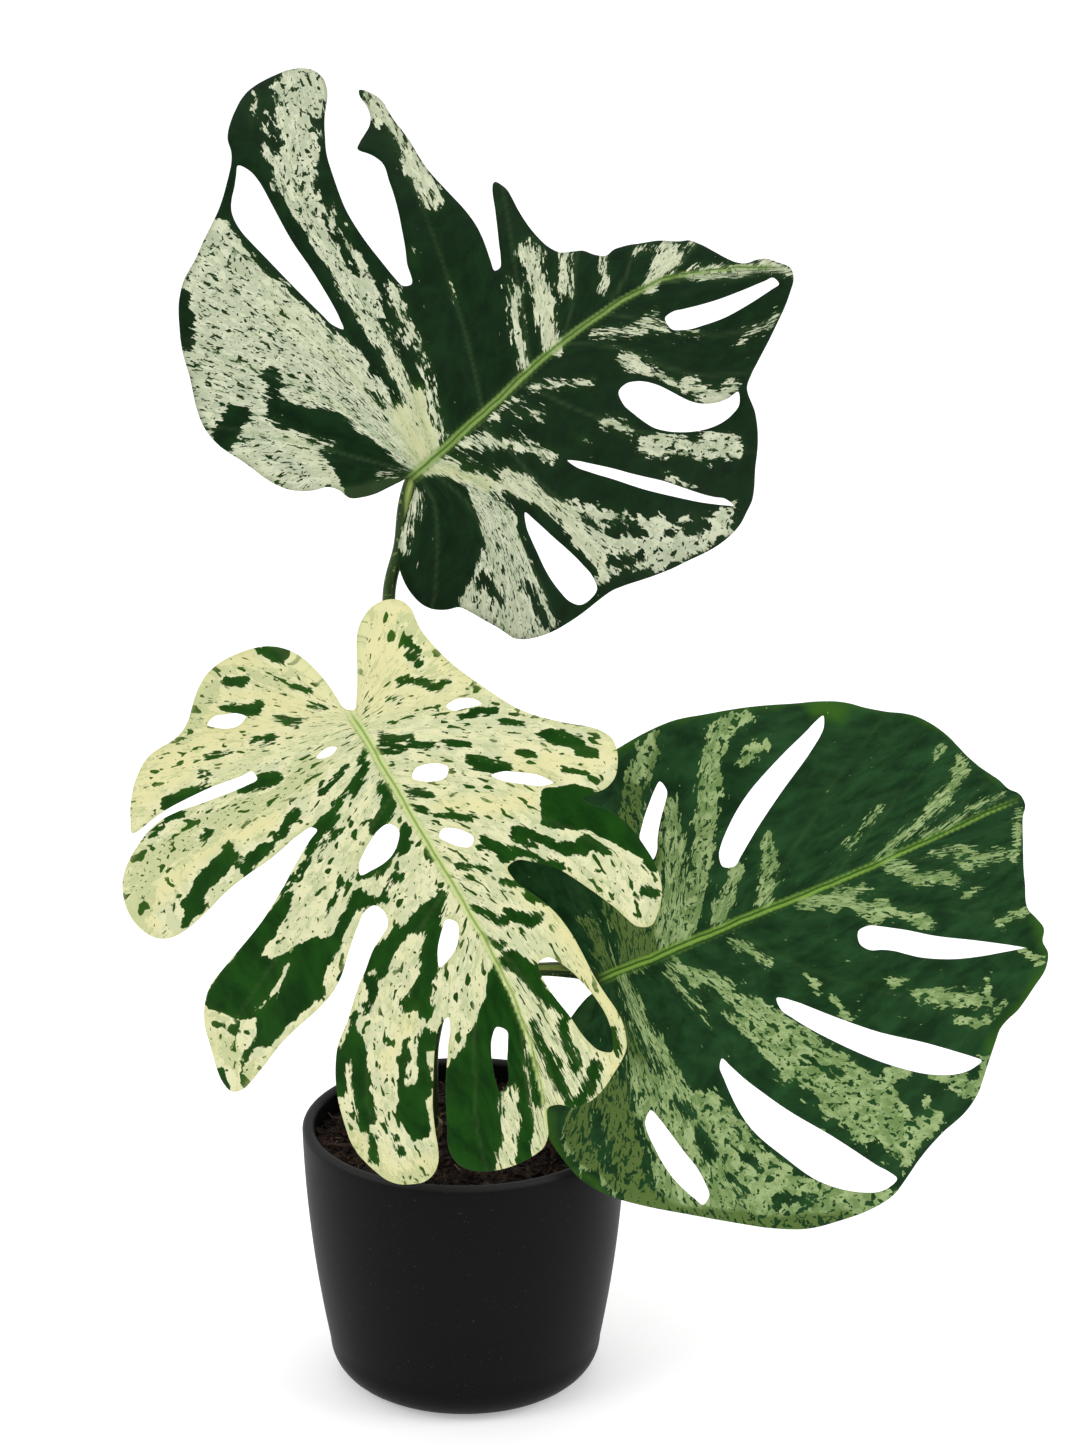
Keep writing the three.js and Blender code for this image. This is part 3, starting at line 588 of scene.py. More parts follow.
front["strokes"] = [
    ("butter", 8, [(-2, 2), (-12, -28), (-30, -50), (-52, -40), (-54, -12), (-62, 12), (-44, 12), (-20, 8),
                   (-2, 2)]),
    ("butter", 8, [(4, -3), (8, -34), (30, -60), (58, -58), (78, -42), (104, -36), (130, -14), (120, -8),
                   (60, -9), (4, -3)]),
    ("butter", 6, [(-60, 52), (-80, 66), (-98, 66)]),
    ("butter", 5, [(-20, 56), (-40, 66), (-56, 72)]),
    ("butter", 6, [(60, 24), (100, 20), (138, 30), (140, 38)]),
    ("butter", 5, [(-36, 104), (-44, 140), (-45, 178), (-36, 202)]),
    ("butter", 4, [(30, 128), (45, 142), (60, 152)]),
    ("butter", 5, [(66, 204), (84, 200), (92, 178)]),
    ("butter", 5, [(128, 124), (132, 108), (128, 94)]),
    ("tan", 6, [(30, 13), (90, 13), (130, 14), (142, 30)]),
    ("tan", 4, [(128, 122), (132, 108), (126, 92)]),
    ("tan", 4, [(-40, -6), (-42, -30)]),
    ("tan", 4, [(20, -30), (50, -50), (80, -32)]),
    ("tan", 3, [(96, 188), (84, 206), (68, 206)]),
    ("green", 3.2, [(40, -25), (48, -29), (55, -34)]),
    ("green", 2.6, [(40, -41), (49, -46)]),
    ("green", 3, [(18, -42), (26, -50)]),
    ("green", 2.8, [(82, -5), (102, -6)]),
    ("green", 1.6, [(75, -9), (80, -12)]),
    ("green", 1.8, [(24, -10), (33, -17)]),
    ("green", 1.8, [(39, -9), (50, -12)]),
    ("green", 1.2, [(10, -10), (16, -16)]),
    ("green", 1.4, [(62, -14), (72, -17)]),
    ("green", 1.2, [(14, -22), (20, -26)]),
    ("green", 3.8, [(84, 28), (98, 32), (115, 39)]),
    ("green", 3.6, [(71, 35), (82, 38)]),
    ("green", 2.4, [(110, 43), (123, 47)]),
    ("green", 2.2, [(44, 27), (55, 31)]),
    ("green", 1.8, [(14, 20), (31, 25)]),
    ("green", 2.6, [(4, 22), (9, 28), (15, 32)]),
    ("green", 2.6, [(46, 8), (64, 4)]),
    ("green", 1.8, [(89, 14), (95, 16)]),
    ("green", 1.6, [(99, 1), (120, 1)]),
    ("green", 1.4, [(60, 33), (66, 36)]),
    ("green", 3, [(34, 37), (46, 43)]),
    ("green", 1.6, [(20, 33), (32, 38)]),
    ("green", 1.6, [(50, 48), (68, 56)]),
    ("green", 1.6, [(30, 44), (44, 50)]),
    ("green", 3.2, [(3, 36), (6, 48), (14, 53)]),
    ("green", 2, [(6, 65), (18, 69), (31, 68)]),
    ("green", 1.5, [(2, 58), (5, 66)]),
    ("green", 3, [(36, 76), (46, 82), (56, 90)]),
    ("green", 2.4, [(26, 84), (34, 80)]),
    ("green", 1.6, [(40, 66), (54, 74)]),
    ("green", 1.5, [(14, 76), (22, 80)]),
    ("green", 2, [(54, 90), (66, 101), (76, 109), (92, 115), (110, 118), (118, 114), (112, 104), (122, 98),
                  (134, 86), (126, 80), (112, 75), (98, 69), (80, 61), (66, 59), (70, 67), (84, 72), (97, 77),
                  (88, 80), (80, 84), (70, 83), (62, 84), (54, 90)]),
    ("cream", 1.8, [(84, 89), (96, 96), (110, 100)]),
    ("green", 1.6, [(124, 104), (130, 100)]),
    ("green", 1.6, [(120, 114), (128, 118)]),
    ("green", 2, [(141, 118), (142, 127)]),
    ("green", 3.8, [(1, 94), (14, 100), (34, 103), (60, 110)]),
    ("green", 3.6, [(6, 100), (15, 112), (24, 124), (33, 138)]),
    ("green", 2.6, [(26, 126), (40, 132)]),
    ("green", 1.8, [(50, 118), (60, 126)]),
    ("green", 1.8, [(40, 112), (52, 118)]),
    ("green", 2, [(66, 126), (76, 138)]),
    ("green", 4.2, [(70, 138), (77, 154), (84, 171)]),
    ("green", 3.6, [(82, 138), (89, 154)]),
    ("green", 3, [(38, 148), (46, 160), (51, 172)]),
    ("green", 2.2, [(48, 146), (58, 162), (66, 176)]),
    ("green", 2.4, [(26, 148), (36, 154)]),
    ("green", 2, [(50, 168), (54, 180), (60, 191), (69, 190), (67, 178), (60, 168), (50, 168)]),
    ("green", 2.4, [(85, 180), (89, 190)]),
    ("green", 1.4, [(74, 184), (76, 192)]),
    ("green", 2, [(-9, 132), (0, 142), (10, 152), (24, 161), (38, 168), (47, 182), (56, 200), (54, 216),
                  (36, 222), (18, 222), (8, 204), (3, 184), (-6, 172), (-9, 132)]),
    ("cream", 3, [(2, 136), (12, 148), (24, 160)]),
    ("streaked", 3.6, [(0, 124), (12, 136), (24, 146)]),
    ("streaked", 4, [(-5, 180), (1, 198), (7, 218)]),
    ("streaked", 4, [(14, 191), (22, 205), (33, 222)]),
    ("cream", 2.4, [(16, 194), (22, 208), (30, 220)]),
    ("green", 1.4, [(-2, 182), (3, 200)]),
    ("streaked", 4, [(-17, 128), (-20, 150), (-19, 176), (-17, 204)]),
    ("green", 2.6, [(-30, 196), (-22, 206), (-12, 210)]),
    ("green", 2, [(-24, 174), (-20, 194)]),
    ("green", 2.2, [(-11, 166), (-11, 188), (-8, 206)]),
    ("green", 2.4, [(-29, 172), (-22, 156)]),
    ("green", 2.4, [(-21, 150), (-12, 134)]),
    ("green", 1.8, [(-24, 146), (-17, 134)]),
    ("green", 1.5, [(-14, 126), (-9, 118)]),
    ("green", 3, [(-35, 124), (-26, 116)]),
    ("green", 1.8, [(-44, 119), (-36, 113)]),
    ("green", 1.8, [(-40, 196), (-44, 186)]),
    ("green", 2, [(-20, 118), (-12, 106)]),
    ("green", 1.6, [(-38, 108), (-28, 100)]),
    ("green", 1.8, [(-99, 118), (-90, 117), (-82, 105), (-70, 95), (-56, 85), (-64, 70), (-78, 74), (-92, 88),
                    (-99, 118)]),
    ("green", 2.2, [(-94, 126), (-91, 110)]),
    ("green", 2.8, [(-70, 105), (-58, 95), (-46, 83)]),
    ("green", 2.2, [(-56, 106), (-48, 98)]),
    ("green", 1.8, [(-78, 110), (-70, 101)]),
    ("green", 2.4, [(-89, 137), (-84, 134)]),
    ("green", 2.6, [(-35, 89), (-28, 80)]),
    ("green", 2.6, [(-45, 93), (-36, 88)]),
    ("green", 1.6, [(-24, 92), (-14, 84)]),
    ("green", 3.4, [(-88, 56), (-76, 48)]),
    ("green", 2.4, [(-94, 65), (-89, 61)]),
    ("green", 3, [(-53, 53), (-41, 42)]),
    ("green", 1.8, [(-70, 38), (-61, 32)]),
    ("green", 1.6, [(-68, 54), (-62, 50)]),
    ("green", 1.6, [(-84, 72), (-78, 66)]),
    ("green", 2, [(-28, 28), (-14, 24), (-5, 19)]),
    ("green", 1.6, [(-22, 21), (-8, 14)]),
    ("green", 2.2, [(-60, 25), (-46, 23)]),
    ("green", 1.6, [(-42, 34), (-34, 30)]),
    ("green", 1.8, [(-16, 47), (-8, 42)]),
    ("green", 1.5, [(-30, 66), (-16, 60)]),
    ("green", 1.5, [(-12, 56), (-6, 50)]),
    ("green", 1.8, [(-46, 4), (-40, 2)]),
    ("green", 2, [(-36, -1), (-26, -6)]),
    ("green", 2, [(-40, -10), (-36, -15)]),
    ("green", 1.8, [(-42, -17), (-38, -22)]),
    ("green", 1.3, [(-24, 2), (-18, -1)]),
]
right["base"] = "green"
right["strokes"] = [
    ("moss", 8, [(-8, 24), (-35, 36), (-56, 48)]),
    ("sage", 5.2, [(-3, 44), (-12, 52), (-36, 70), (-56, 84), (-74, 96), (-88, 106)]),
    ("sage", 4.4, [(-84, 100), (-90, 112), (-92, 124)]),
    ("sage", 2.6, [(-70, 112), (-76, 124)]),
    ("moss", 6, [(-100, 76), (-84, 60), (-66, 46)]),
    ("sage", 3, [(-98, 72), (-84, 60)]),
    ("sage", 5, [(-66, 68), (-44, 58), (-20, 44), (-4, 36)]),
    ("moss", 8, [(-30, 22), (-4, 18)]),
    ("moss", 4, [(-28, 4), (-6, 2)]),
    ("sage", 3.6, [(-30, 104), (-16, 97), (-3, 88)]),
    ("sage", 4, [(-22, 80), (-10, 70), (-2, 62)]),
    ("sage", 1.4, [(-23, 165), (-18, 152), (-12, 140)]),
    ("sage", 3, [(-28, 214), (-20, 206), (-14, 196)]),
    ("sage", 2.2, [(-16, 198), (-10, 180), (-4, 164), (0, 152)]),
    ("sage", 1.2, [(-6, 226), (-4, 200), (-1, 178)]),
    ("sage", 2, [(-38, 208), (-36, 202)]),
    ("sage", 2.4, [(8, 230), (16, 222)]),
    ("sage", 2.4, [(24, 219), (21, 206), (18, 190)]),
    ("sage", 1.4, [(14, 198), (9, 180)]),
    ("sage", 3.2, [(23, 182), (16, 168), (5, 156)]),
    ("sage", 2.8, [(39, 163), (30, 150), (20, 143)]),
    ("sage", 4, [(25, 137), (14, 128), (5, 108)]),
    ("sage", 2, [(6, 124), (10, 138)]),
    ("sage", 1.2, [(32, 194), (33, 188)]),
    ("sage", 2.6, [(52, 215), (51, 200)]),
    ("sage", 1.8, [(70, 204), (79, 214)]),
    ("sage", 3.4, [(68, 143), (74, 156), (81, 172)]),
    ("sage", 2, [(75, 182), (86, 179)]),
    ("sage", 2.2, [(88, 188), (92, 180), (94, 170)]),
    ("sage", 1.8, [(86, 160), (92, 168)]),
    ("sage", 1.4, [(55, 128), (60, 140)]),
    ("sage", 2, [(52, 103), (64, 108)]),
    ("sage", 1.4, [(40, 94), (47, 98)]),
    ("sage", 3, [(4, 31), (30, 45), (56, 54), (80, 62), (104, 78), (124, 93), (144, 107), (140, 117),
                 (124, 121), (106, 117), (92, 107), (76, 94), (58, 80), (40, 68), (22, 52), (4, 35), (4, 31)]),
    ("green", 3.4, [(60, 51), (72, 59)]),
    ("green", 2.4, [(84, 66), (96, 76)]),
    ("green", 1.8, [(24, 44), (44, 56)]),
    ("green", 1.6, [(72, 78), (88, 92)]),
    ("green", 2.4, [(128, 98), (138, 106)]),
    ("sage", 3.4, [(97, 128), (101, 112)]),
    ("sage", 3.6, [(128, 134), (131, 120)]),
    ("sage", 2, [(118, 132), (124, 126)]),
    ("sage", 4.5, [(112, 168), (124, 160)]),
    ("sage", 4, [(107, 141), (117, 153)]),
    ("sage", 1.2, [(10, 30), (24, 35), (42, 38)]),
    ("sage", 2.2, [(10, 66), (24, 78)]),
    ("sage", 3, [(4, 7), (30, 8), (58, 12)]),
    ("moss", 3, [(20, -2), (50, 2)]),
    ("sage", 3, [(40, -4), (58, 8), (68, 20), (74, 32), (100, 40), (124, 56), (142, 84), (152, 104), (160, 90),
                 (158, 60), (144, 30), (130, 8), (122, -12), (100, -12), (70, -10), (40, -4)]),
    ("moss", 6, [(42, -6), (70, -12), (100, -14), (124, -12), (110, -44), (70, -62), (50, -40), (42, -6)]),
    ("moss", 4, [(20, -34), (44, -30)]),
    ("moss", 7, [(100, -34), (122, -6), (134, 18), (148, 44), (154, 70)]),
    ("green", 2.6, [(60, -30), (84, -34)]),
    ("green", 2.6, [(26, -24), (48, -40)]),
    ("green", 2.8, [(131, 42), (139, 58)]),
    ("green", 2, [(110, 20), (122, 28)]),
    ("green", 3.4, [(86, 14), (98, 18)]),
    ("green", 2.4, [(66, 8), (78, 14)]),
    ("green", 2, [(100, 30), (114, 38)]),
    ("fresh", 2.5, [(-102, 56), (-106, 88), (-98, 124), (-87, 162), (-66, 200), (-42, 218), (-12, 231)]),
    ("fresh", 5, [(-82, 160), (-76, 168)]),
    ("fresh", 3, [(56, 219), (80, 217), (94, 196), (106, 172)]),
    ("fresh", 3, [(100, -36), (76, -52), (50, -54)]),
]


def distance_to(places, line):
    line = np.array(line, float)
    best = np.full(len(places), 1e9)
    for a, b in zip(line, line[1:]):
        run = b - a
        share = np.clip(((places - a) @ run) / max(run @ run, 1e-9), 0, 1)
        best = np.minimum(best, np.linalg.norm(places - a - share[:, None] * run, axis=1))
    return best


STROKE_FADE = 6.5


def wander(places, size, reach):
    """The places pushed about by a smooth noise, so that no brushed border stays straight."""
    return places + reach * np.array([noise.noise_vector((x / size, y / size, 0.5))[:2] for x, y in places])


def brush(leaf, places):
    """The finish at each place, after all the strokes in their order."""
    paint = np.tile(np.array(FINISHES[leaf["base"]]), (len(places), 1))
    places = wander(wander(places, 14, 2.4), 5, 1.3)
    for finish, reach, line in leaf["strokes"]:
        away = distance_to(places, line)
        if line[0] == line[-1]:
            away = np.where(is_inside(places, [np.array(line, float)]), -away, away)
            share = np.clip(0.5 - away / (2 * reach), 0, 1)
        else:
            share = np.clip(0.5 + (reach - away) / STROKE_FADE, 0, 1)
        paint += (np.array(FINISHES[finish]) - paint) * share[:, None]
    return paint


for leaf in (upper, front, right):
    leaf["paint"] = brush(leaf, leaf["places"])
    print(leaf["name"], "mean pale share", round(float(leaf["paint"][:, 0].mean()), 2))

# %% [markdown]
# ## Giving the sheet its height
# The real blade is a soft gutter: it folds at the midrib, bulges a little between the side veins and dips
# along them, and its margin turns down. On the back the midrib and the side veins stand out as round ribs.
# Height is worked out point by point, so the front, the back and the thin rounded edge stay one closed
# skin.

# %% Height, ribs and edge
BLADE_THICKNESS = 0.8
VEIN_DIP = 0.35
SWELL = 0.9


def midrib_at(leaf, y):
    line = np.array(leaf["midrib"], float)
    return np.interp(y, line[:, 1], line[:, 0])


def bent_height(leaf, u, y):
    """The frame's own rule for the upper face: u is measured from the midrib and y along the blade."""
    on_right = (u >= 0).astype(int)
    fold = np.array(leaf["fold"], float)[on_right]
    cup = np.array(leaf["cup"], float)[on_right]
    height = -fold * (np.hypot(u, 12) - 12) - cup * (u / 100) ** 2
    height -= leaf["arc"] * (np.maximum(y, 0) / leaf["arc_run"]) ** 2
    height -= leaf["back_cup"] * (np.minimum(y, 0) / 60) ** 2
    swell = np.sin(2 * np.pi * (y + 0.5 * np.abs(u)) / 120)
    return height + leaf["wave"] * swell * np.minimum(1, np.abs(u) / 70)


def blade_fields(leaf):
    """Everything that is known at each place of a sheet."""
    places = leaf["places"]
    x, y = places.T
    u = x - midrib_at(leaf, y)
    on_right = u >= 0
    found = [follow_veins(grid, places) for grid in leaf["fans"]]
    vein, out, gap = (np.where(on_right, found[1][k], found[0][k]) for k in range(3))
    side_vein = np.abs(vein - np.round(vein)) * gap
    on_rib = np.clip((y + 6) / 8, 0, 1) * np.clip((leaf["rib_length"] - y) / 12, 0, 1)
    rib_width = np.interp(y, [0, leaf["rib_length"]], [2.2, 0.7])
    edge = np.vstack(leaf["loops"])
    near = kdtree.KDTree(len(edge))
    for k, p in enumerate(edge):
        near.insert((*p, 0), k)
    near.balance()
    edge_away = np.array([near.find((*p, 0))[2] for p in places])
    leaf.update(u=u, y=y, found=found, vein=vein, out=out, gap=gap, side_vein=side_vein, on_rib=on_rib,
                rib_width=rib_width, edge_away=edge_away)


def face_heights(leaf):
    """Heights of the upper face and of the back."""
    u, y, out = leaf["u"], leaf["y"], leaf["out"]
    away_from_rib = np.clip((np.abs(u) - 4) / 22, 0, 1)
    swell = np.sin(np.pi * leaf["vein"]) ** 2 * np.clip(leaf["gap"] / 30, 0, 1) * away_from_rib
    fading = np.clip(1.3 - out / 170, 0.2, 1)
    dip = np.exp(-(leaf["side_vein"] / 1.5) ** 2) * fading * np.clip(np.abs(u) / 5, 0, 1)
    rib = np.exp(-(u / leaf["rib_width"]) ** 2) * leaf["on_rib"]
    channel = np.exp(-(u / (2.4 * leaf["rib_width"])) ** 2) * leaf["on_rib"]
    ripple = 0.25 * np.sin(leaf["out"] / 6.5 + 3 * leaf["vein"]) * np.sin(5.1 * leaf["vein"]) * away_from_rib
    margin = np.exp(-leaf["edge_away"] / 3.0)
    top = bent_height(leaf, u, y) + SWELL * swell - VEIN_DIP * dip + ripple
    top += np.interp(y, [0, leaf["rib_length"]], [1.5, 0.6]) * rib - 0.9 * channel - 0.5 * margin
    depth = np.interp(y, [0, leaf["rib_length"]], [3.4, 0.7])
    back_rib = depth * np.exp(-(u / (1.25 * leaf["rib_width"])) ** 2) * leaf["on_rib"]
    side_rib = 0.8 * np.exp(-(leaf["side_vein"] / 1.3) ** 2) * fading
    back_fade = np.clip(leaf["edge_away"] / 4, 0, 1)
    back = top - BLADE_THICKNESS - (back_rib + side_rib) * back_fade
    return top, back


for leaf in (upper, front, right):
    blade_fields(leaf)
    leaf["top"], leaf["back"] = face_heights(leaf)
    print(leaf["name"], "height", round(float(leaf["back"].min()), 1), round(float(leaf["top"].max()), 1))


# %% The blade's skin
VEIN_GAP = 2.8    # centimetres of pattern from one side vein to the next
SIDE_SHIFT = 40   # keeps the two halves' patterns apart


def pattern_place(found, side):
    vein, out, _ = found
    return np.column_stack([vein * VEIN_GAP + side * SIDE_SHIFT, out * 0.1])


def make_blade(leaf, material):
    """One closed skin: the upper face, the back and a rounded edge between them."""
    places, faces, rim = leaf["places"], leaf["faces"], leaf["rim"]
    count = len(places)
    edge_points = np.array(sorted({a for a, _ in rim}))
    edge_place = {int(p): k for k, p in enumerate(edge_points)}
    outward = np.zeros((count, 2))
    for a, b in rim:
        run = places[b] - places[a]
        across = np.array([run[1], -run[0]]) / max(np.linalg.norm(run), 1e-9)
        outward[a] += across
        outward[b] += across
    outward = outward[edge_points]
    outward /= np.maximum(np.linalg.norm(outward, axis=1), 1e-9)[:, None]
    top, back = leaf["top"].copy(), leaf["back"].copy()
    top[edge_points] -= 0.15
    back[edge_points] += 0.15
    middle = (top + back)[edge_points] / 2
    points = np.vstack([
        np.column_stack([places, top]),
        np.column_stack([places, back]),
        np.column_stack([places[edge_points] + 0.25 * outward, middle]),
    ])
    matrix = np.array(leaf["matrix"])
    points = (points @ matrix[:3, :3].T + matrix[:3, 3]) * MM
    skin = faces.tolist() + (faces[:, ::-1] + count).tolist()
    for a, b in rim:
        ma, mb = 2 * count + edge_place[a], 2 * count + edge_place[b]
        skin.append((a, ma, mb, b))
        skin.append((ma, a + count, b + count, mb))
    piece = add_piece("blade_" + leaf["name"].split("_")[1], points, skin, material, [leaf["name"]])
    mesh = piece.data
    source = np.concatenate([np.arange(count), np.arange(count), edge_points])
    under = np.concatenate([np.zeros(count), np.ones(count), np.full(len(edge_points), 0.5)])
    paint = mesh.attributes.new("paint", "FLOAT_COLOR", "POINT")
    paint.data.foreach_set("color", leaf["paint"][source].astype(np.float32).ravel())
    rib = np.exp(-(leaf["u"] / (1.15 * leaf["rib_width"])) ** 4) * leaf["on_rib"]
    fading = np.clip(1.2 - leaf["out"] / 190, 0.15, 1)
    side = np.exp(-(leaf["side_vein"] / 0.8) ** 2) * fading
    edge = np.exp(-leaf["edge_away"] / 1.2)
    ribs = mesh.attributes.new("ribs", "FLOAT_COLOR", "POINT")
    ribs.data.foreach_set("color", np.column_stack(
        [rib[source], side[source], edge[source], under]).astype(np.float32).ravel())
    across = mesh.attributes.new("from_midrib", "FLOAT", "POINT")
    across.data.foreach_set("value", leaf["u"][source].astype(np.float32))
    corners = np.zeros(len(mesh.loops), np.int64)
    mesh.loops.foreach_get("vertex_index", corners)
    owners = np.repeat(np.arange(len(mesh.polygons)), [p.loop_total for p in mesh.polygons])
    u = leaf["u"][source[corners]]
    face_u = np.bincount(owners, u) / np.bincount(owners)
    on_right = face_u[owners] >= 0
    spots = [pattern_place(leaf["found"][side], side)[source[corners]] for side in (0, 1)]
    layer = mesh.uv_layers.new(name="veins")
    layer.data.foreach_set("uv", np.where(on_right[:, None], spots[1], spots[0]).astype(np.float32).ravel())
    return piece


# %% [markdown]
# ## The leaf's finish
# A leaf is a soft satin: a thin wax over cells. Its colour is made in layers. Deep green comes first, then
# sage, then the pale sectors, then the dark flecks in them, and last the striped midrib and the fine light
# side veins. The borders between layers are sharp, because each cell is one colour or the other. Each
# border is the brushed share plus a noise that is stretched along the veins, cut off at one half.

# %% Leaf material
def stretched_noise(tree, place, across, along, shift, detail=4.0, roughness=0.6, distortion=0.3):
    """Noise drawn out along the veins. `across` and `along` are how often it changes in a centimetre."""
    mapping = add_node(tree, "ShaderNodeMapping", Vector=place, Scale=(across, along, 1),
                       Location=(0, 0, shift))
    noise = add_node(tree, "ShaderNodeTexNoise", Vector=mapping.outputs[0], Scale=1.0, Detail=detail,
                     Roughness=roughness, Distortion=distortion)
    return noise.outputs[0]


def cell_shades(tree, place, across, along, shift):
    """A shade from 0 to 1 for each cell of a mosaic drawn out along the veins, with ragged borders."""
    mapping = add_node(tree, "ShaderNodeMapping", Vector=place, Scale=(across, along, 1),
                       Location=(shift, shift, 0)).outputs[0]
    ragged = add_node(tree, "ShaderNodeTexNoise", Vector=mapping, Scale=1.8, Detail=3.0).outputs["Color"]
    pushed = add_node(tree, "ShaderNodeVectorMath", {"operation": "MULTIPLY_ADD"}, _0=ragged,
                      _1=(1.6, 1.6, 0.0), _2=mapping).outputs[0]
    cells = add_node(tree, "ShaderNodeTexVoronoi", {"voronoi_dimensions": "2D"}, Vector=pushed, Scale=1.0)
    return add_node(tree, "ShaderNodeSeparateColor", Color=cells.outputs["Color"]).outputs[0]


def share_of(tree, brushed, noise, reach, sharp):
    """Where the brushed share plus the noise passes one half, with a border `sharp` wide."""
    swing = math_node(tree, "MULTIPLY", math_node(tree, "SUBTRACT", noise, 0.5), reach)
    return step_up(tree, math_node(tree, "ADD", brushed, swing), 0.5 - sharp, 0.5 + sharp)


def leaf_material(name, tones, shift):
    material, tree, shader = new_material(name)
    place = add_node(tree, "ShaderNodeUVMap", {"uv_map": "veins"}).outputs[0]
    paint = add_node(tree, "ShaderNodeAttribute", {"attribute_name": "paint"})
    ribs = add_node(tree, "ShaderNodeAttribute", {"attribute_name": "ribs"})
    pale, sage, flecks = add_node(tree, "ShaderNodeSeparateColor", Color=paint.outputs["Color"]).outputs[:3]
    rib, vein, edge = add_node(tree, "ShaderNodeSeparateColor", Color=ribs.outputs["Color"]).outputs[:3]
    warm, under = paint.outputs["Alpha"], ribs.outputs["Alpha"]

    broad = stretched_noise(tree, place, 3.2, 0.55, shift)
    streak = stretched_noise(tree, place, 7.5, 1.6, shift + 7, detail=3.0)
    fine = stretched_noise(tree, place, 9.0, 2.2, shift + 13, detail=3.0)
    bands = stretched_noise(tree, place, 4.0, 0.7, shift + 29)
    size = tones["fleck_size"]
    blots = stretched_noise(tree, place, 6.0 / size, 1.9 / size, shift + 17, detail=tones["fleck_detail"])
    dots = stretched_noise(tree, place, 10.0, 4.0, shift + 37, detail=1.0)
    shades = cell_shades(tree, place, 3.4, 1.5, shift)
    cloud = stretched_noise(tree, place, 1.2, 0.8, shift + 21, detail=3.0)
    ragged = math_node(tree, "ADD", math_node(tree, "MULTIPLY", broad, 0.5),
                       math_node(tree, "MULTIPLY", streak, 0.5))
    ragged_sage = math_node(tree, "ADD", math_node(tree, "MULTIPLY", bands, 0.5),
                            math_node(tree, "MULTIPLY", fine, 0.5))

    green = mix_colour(tree, step_up(tree, cloud, 0.35, 0.65), tones["green"], tones["green_light"])
    green = mix_colour(tree, math_node(tree, "MULTIPLY", warm, 0.85), green, tones["fresh"])
    mottled = math_node(tree, "ADD", math_node(tree, "MULTIPLY", shades, 0.35), streak)
    sage_tone = mix_colour(tree, step_up(tree, mottled, 0.5, 0.85), tones["sage"], tones["sage_light"])
    mottled = math_node(tree, "ADD", math_node(tree, "MULTIPLY", shades, 0.4), cloud)
    cream = mix_colour(tree, step_up(tree, mottled, 0.62, 0.78), tones["cream"], tones["cream_grey"])
    cream = mix_colour(tree, math_node(tree, "MULTIPLY", warm, 0.8), cream, tones["butter"])
    sage_tone = mix_colour(tree, step_up(tree, warm, -0.4, -0.15), tones["moss"], sage_tone)
    sage_share = share_of(tree, sage, ragged_sage, tones["sage_swing"], 0.1)
    in_cream = math_node(tree, "MULTIPLY", sage_share, 0.55)
    cream = mix_colour(tree, in_cream, cream, tones["cream_sage"])
    pale_share = share_of(tree, pale, ragged, tones["swing"], 0.1)

    surface = mix_colour(tree, sage_share, green, sage_tone)
    surface = mix_colour(tree, pale_share, surface, cream)
    ceiling = math_node(tree, "SUBTRACT", 0.74, math_node(tree, "MULTIPLY", flecks, 0.17))
    over = math_node(tree, "SUBTRACT", blots, ceiling)
    crowding = math_node(tree, "MULTIPLY", math_node(tree, "SUBTRACT", cloud, 0.5), 0.3)
    over = math_node(tree, "ADD", over, crowding)
    dots_over = math_node(tree, "SUBTRACT", dots, math_node(tree, "ADD", ceiling, 0.06))
    fleck_share = step_up(tree, math_node(tree, "MAXIMUM", over, dots_over), -0.012, 0.012)
    surface = mix_colour(tree, fleck_share, surface, green)
    vein_share = math_node(tree, "ADD", tones["dark_vein"], math_node(tree, "MULTIPLY", pale_share, 0.4))
    vein_share = math_node(tree, "MULTIPLY", vein, vein_share)
    surface = mix_colour(tree, vein_share, surface, tones["vein"])
    edge_share = math_node(tree, "MULTIPLY", edge, math_node(tree, "MULTIPLY", pale_share, 0.3))
    surface = mix_colour(tree, edge_share, surface, tones["edge"])

    from_midrib = add_node(tree, "ShaderNodeAttribute", {"attribute_name": "from_midrib"}).outputs["Fac"]
    object_place = add_node(tree, "ShaderNodeTexCoord").outputs["Object"]
    wobble = add_node(tree, "ShaderNodeTexNoise", Vector=object_place, Scale=60.0, Detail=2.0).outputs[0]
    stripe_at = math_node(tree, "ADD", math_node(tree, "MULTIPLY", from_midrib, 2.4),
                          math_node(tree, "MULTIPLY", wobble, 5.0))
    stripes = step_up(tree, math_node(tree, "SINE", stripe_at), -0.4, 0.9)
    rib_tone = mix_colour(tree, stripes, tones["rib"], tones["rib_dark"])
    surface = mix_colour(tree, rib, surface, rib_tone)

    dull = mix_colour(tree, 0.38, surface, tones["under"])
    surface = mix_colour(tree, under, surface, dull)
    tree.links.new(surface, shader.inputs["Base Color"])
    sheen = add_node(tree, "ShaderNodeTexNoise", Vector=object_place, Scale=45.0, Detail=3.0).outputs[0]
    rough = math_node(tree, "ADD", math_node(tree, "MULTIPLY", sheen, 0.2), tones["rough"])
    rough = math_node(tree, "ADD", rough, math_node(tree, "MULTIPLY", under, 0.2), clamp=True)
    tree.links.new(rough, shader.inputs["Roughness"])
    shader.inputs["Specular IOR Level"].default_value = 0.06
    grain = add_node(tree, "ShaderNodeTexNoise", Vector=object_place, Scale=700.0, Detail=2.0).outputs[0]
    relief = math_node(tree, "ADD", grain, math_node(tree, "MULTIPLY", streak, 1.2))
    bump = add_node(tree, "ShaderNodeBump", Strength=0.35, Distance=0.00035, Height=relief)
    tree.links.new(bump.outputs[0], shader.inputs["Normal"])
    return material


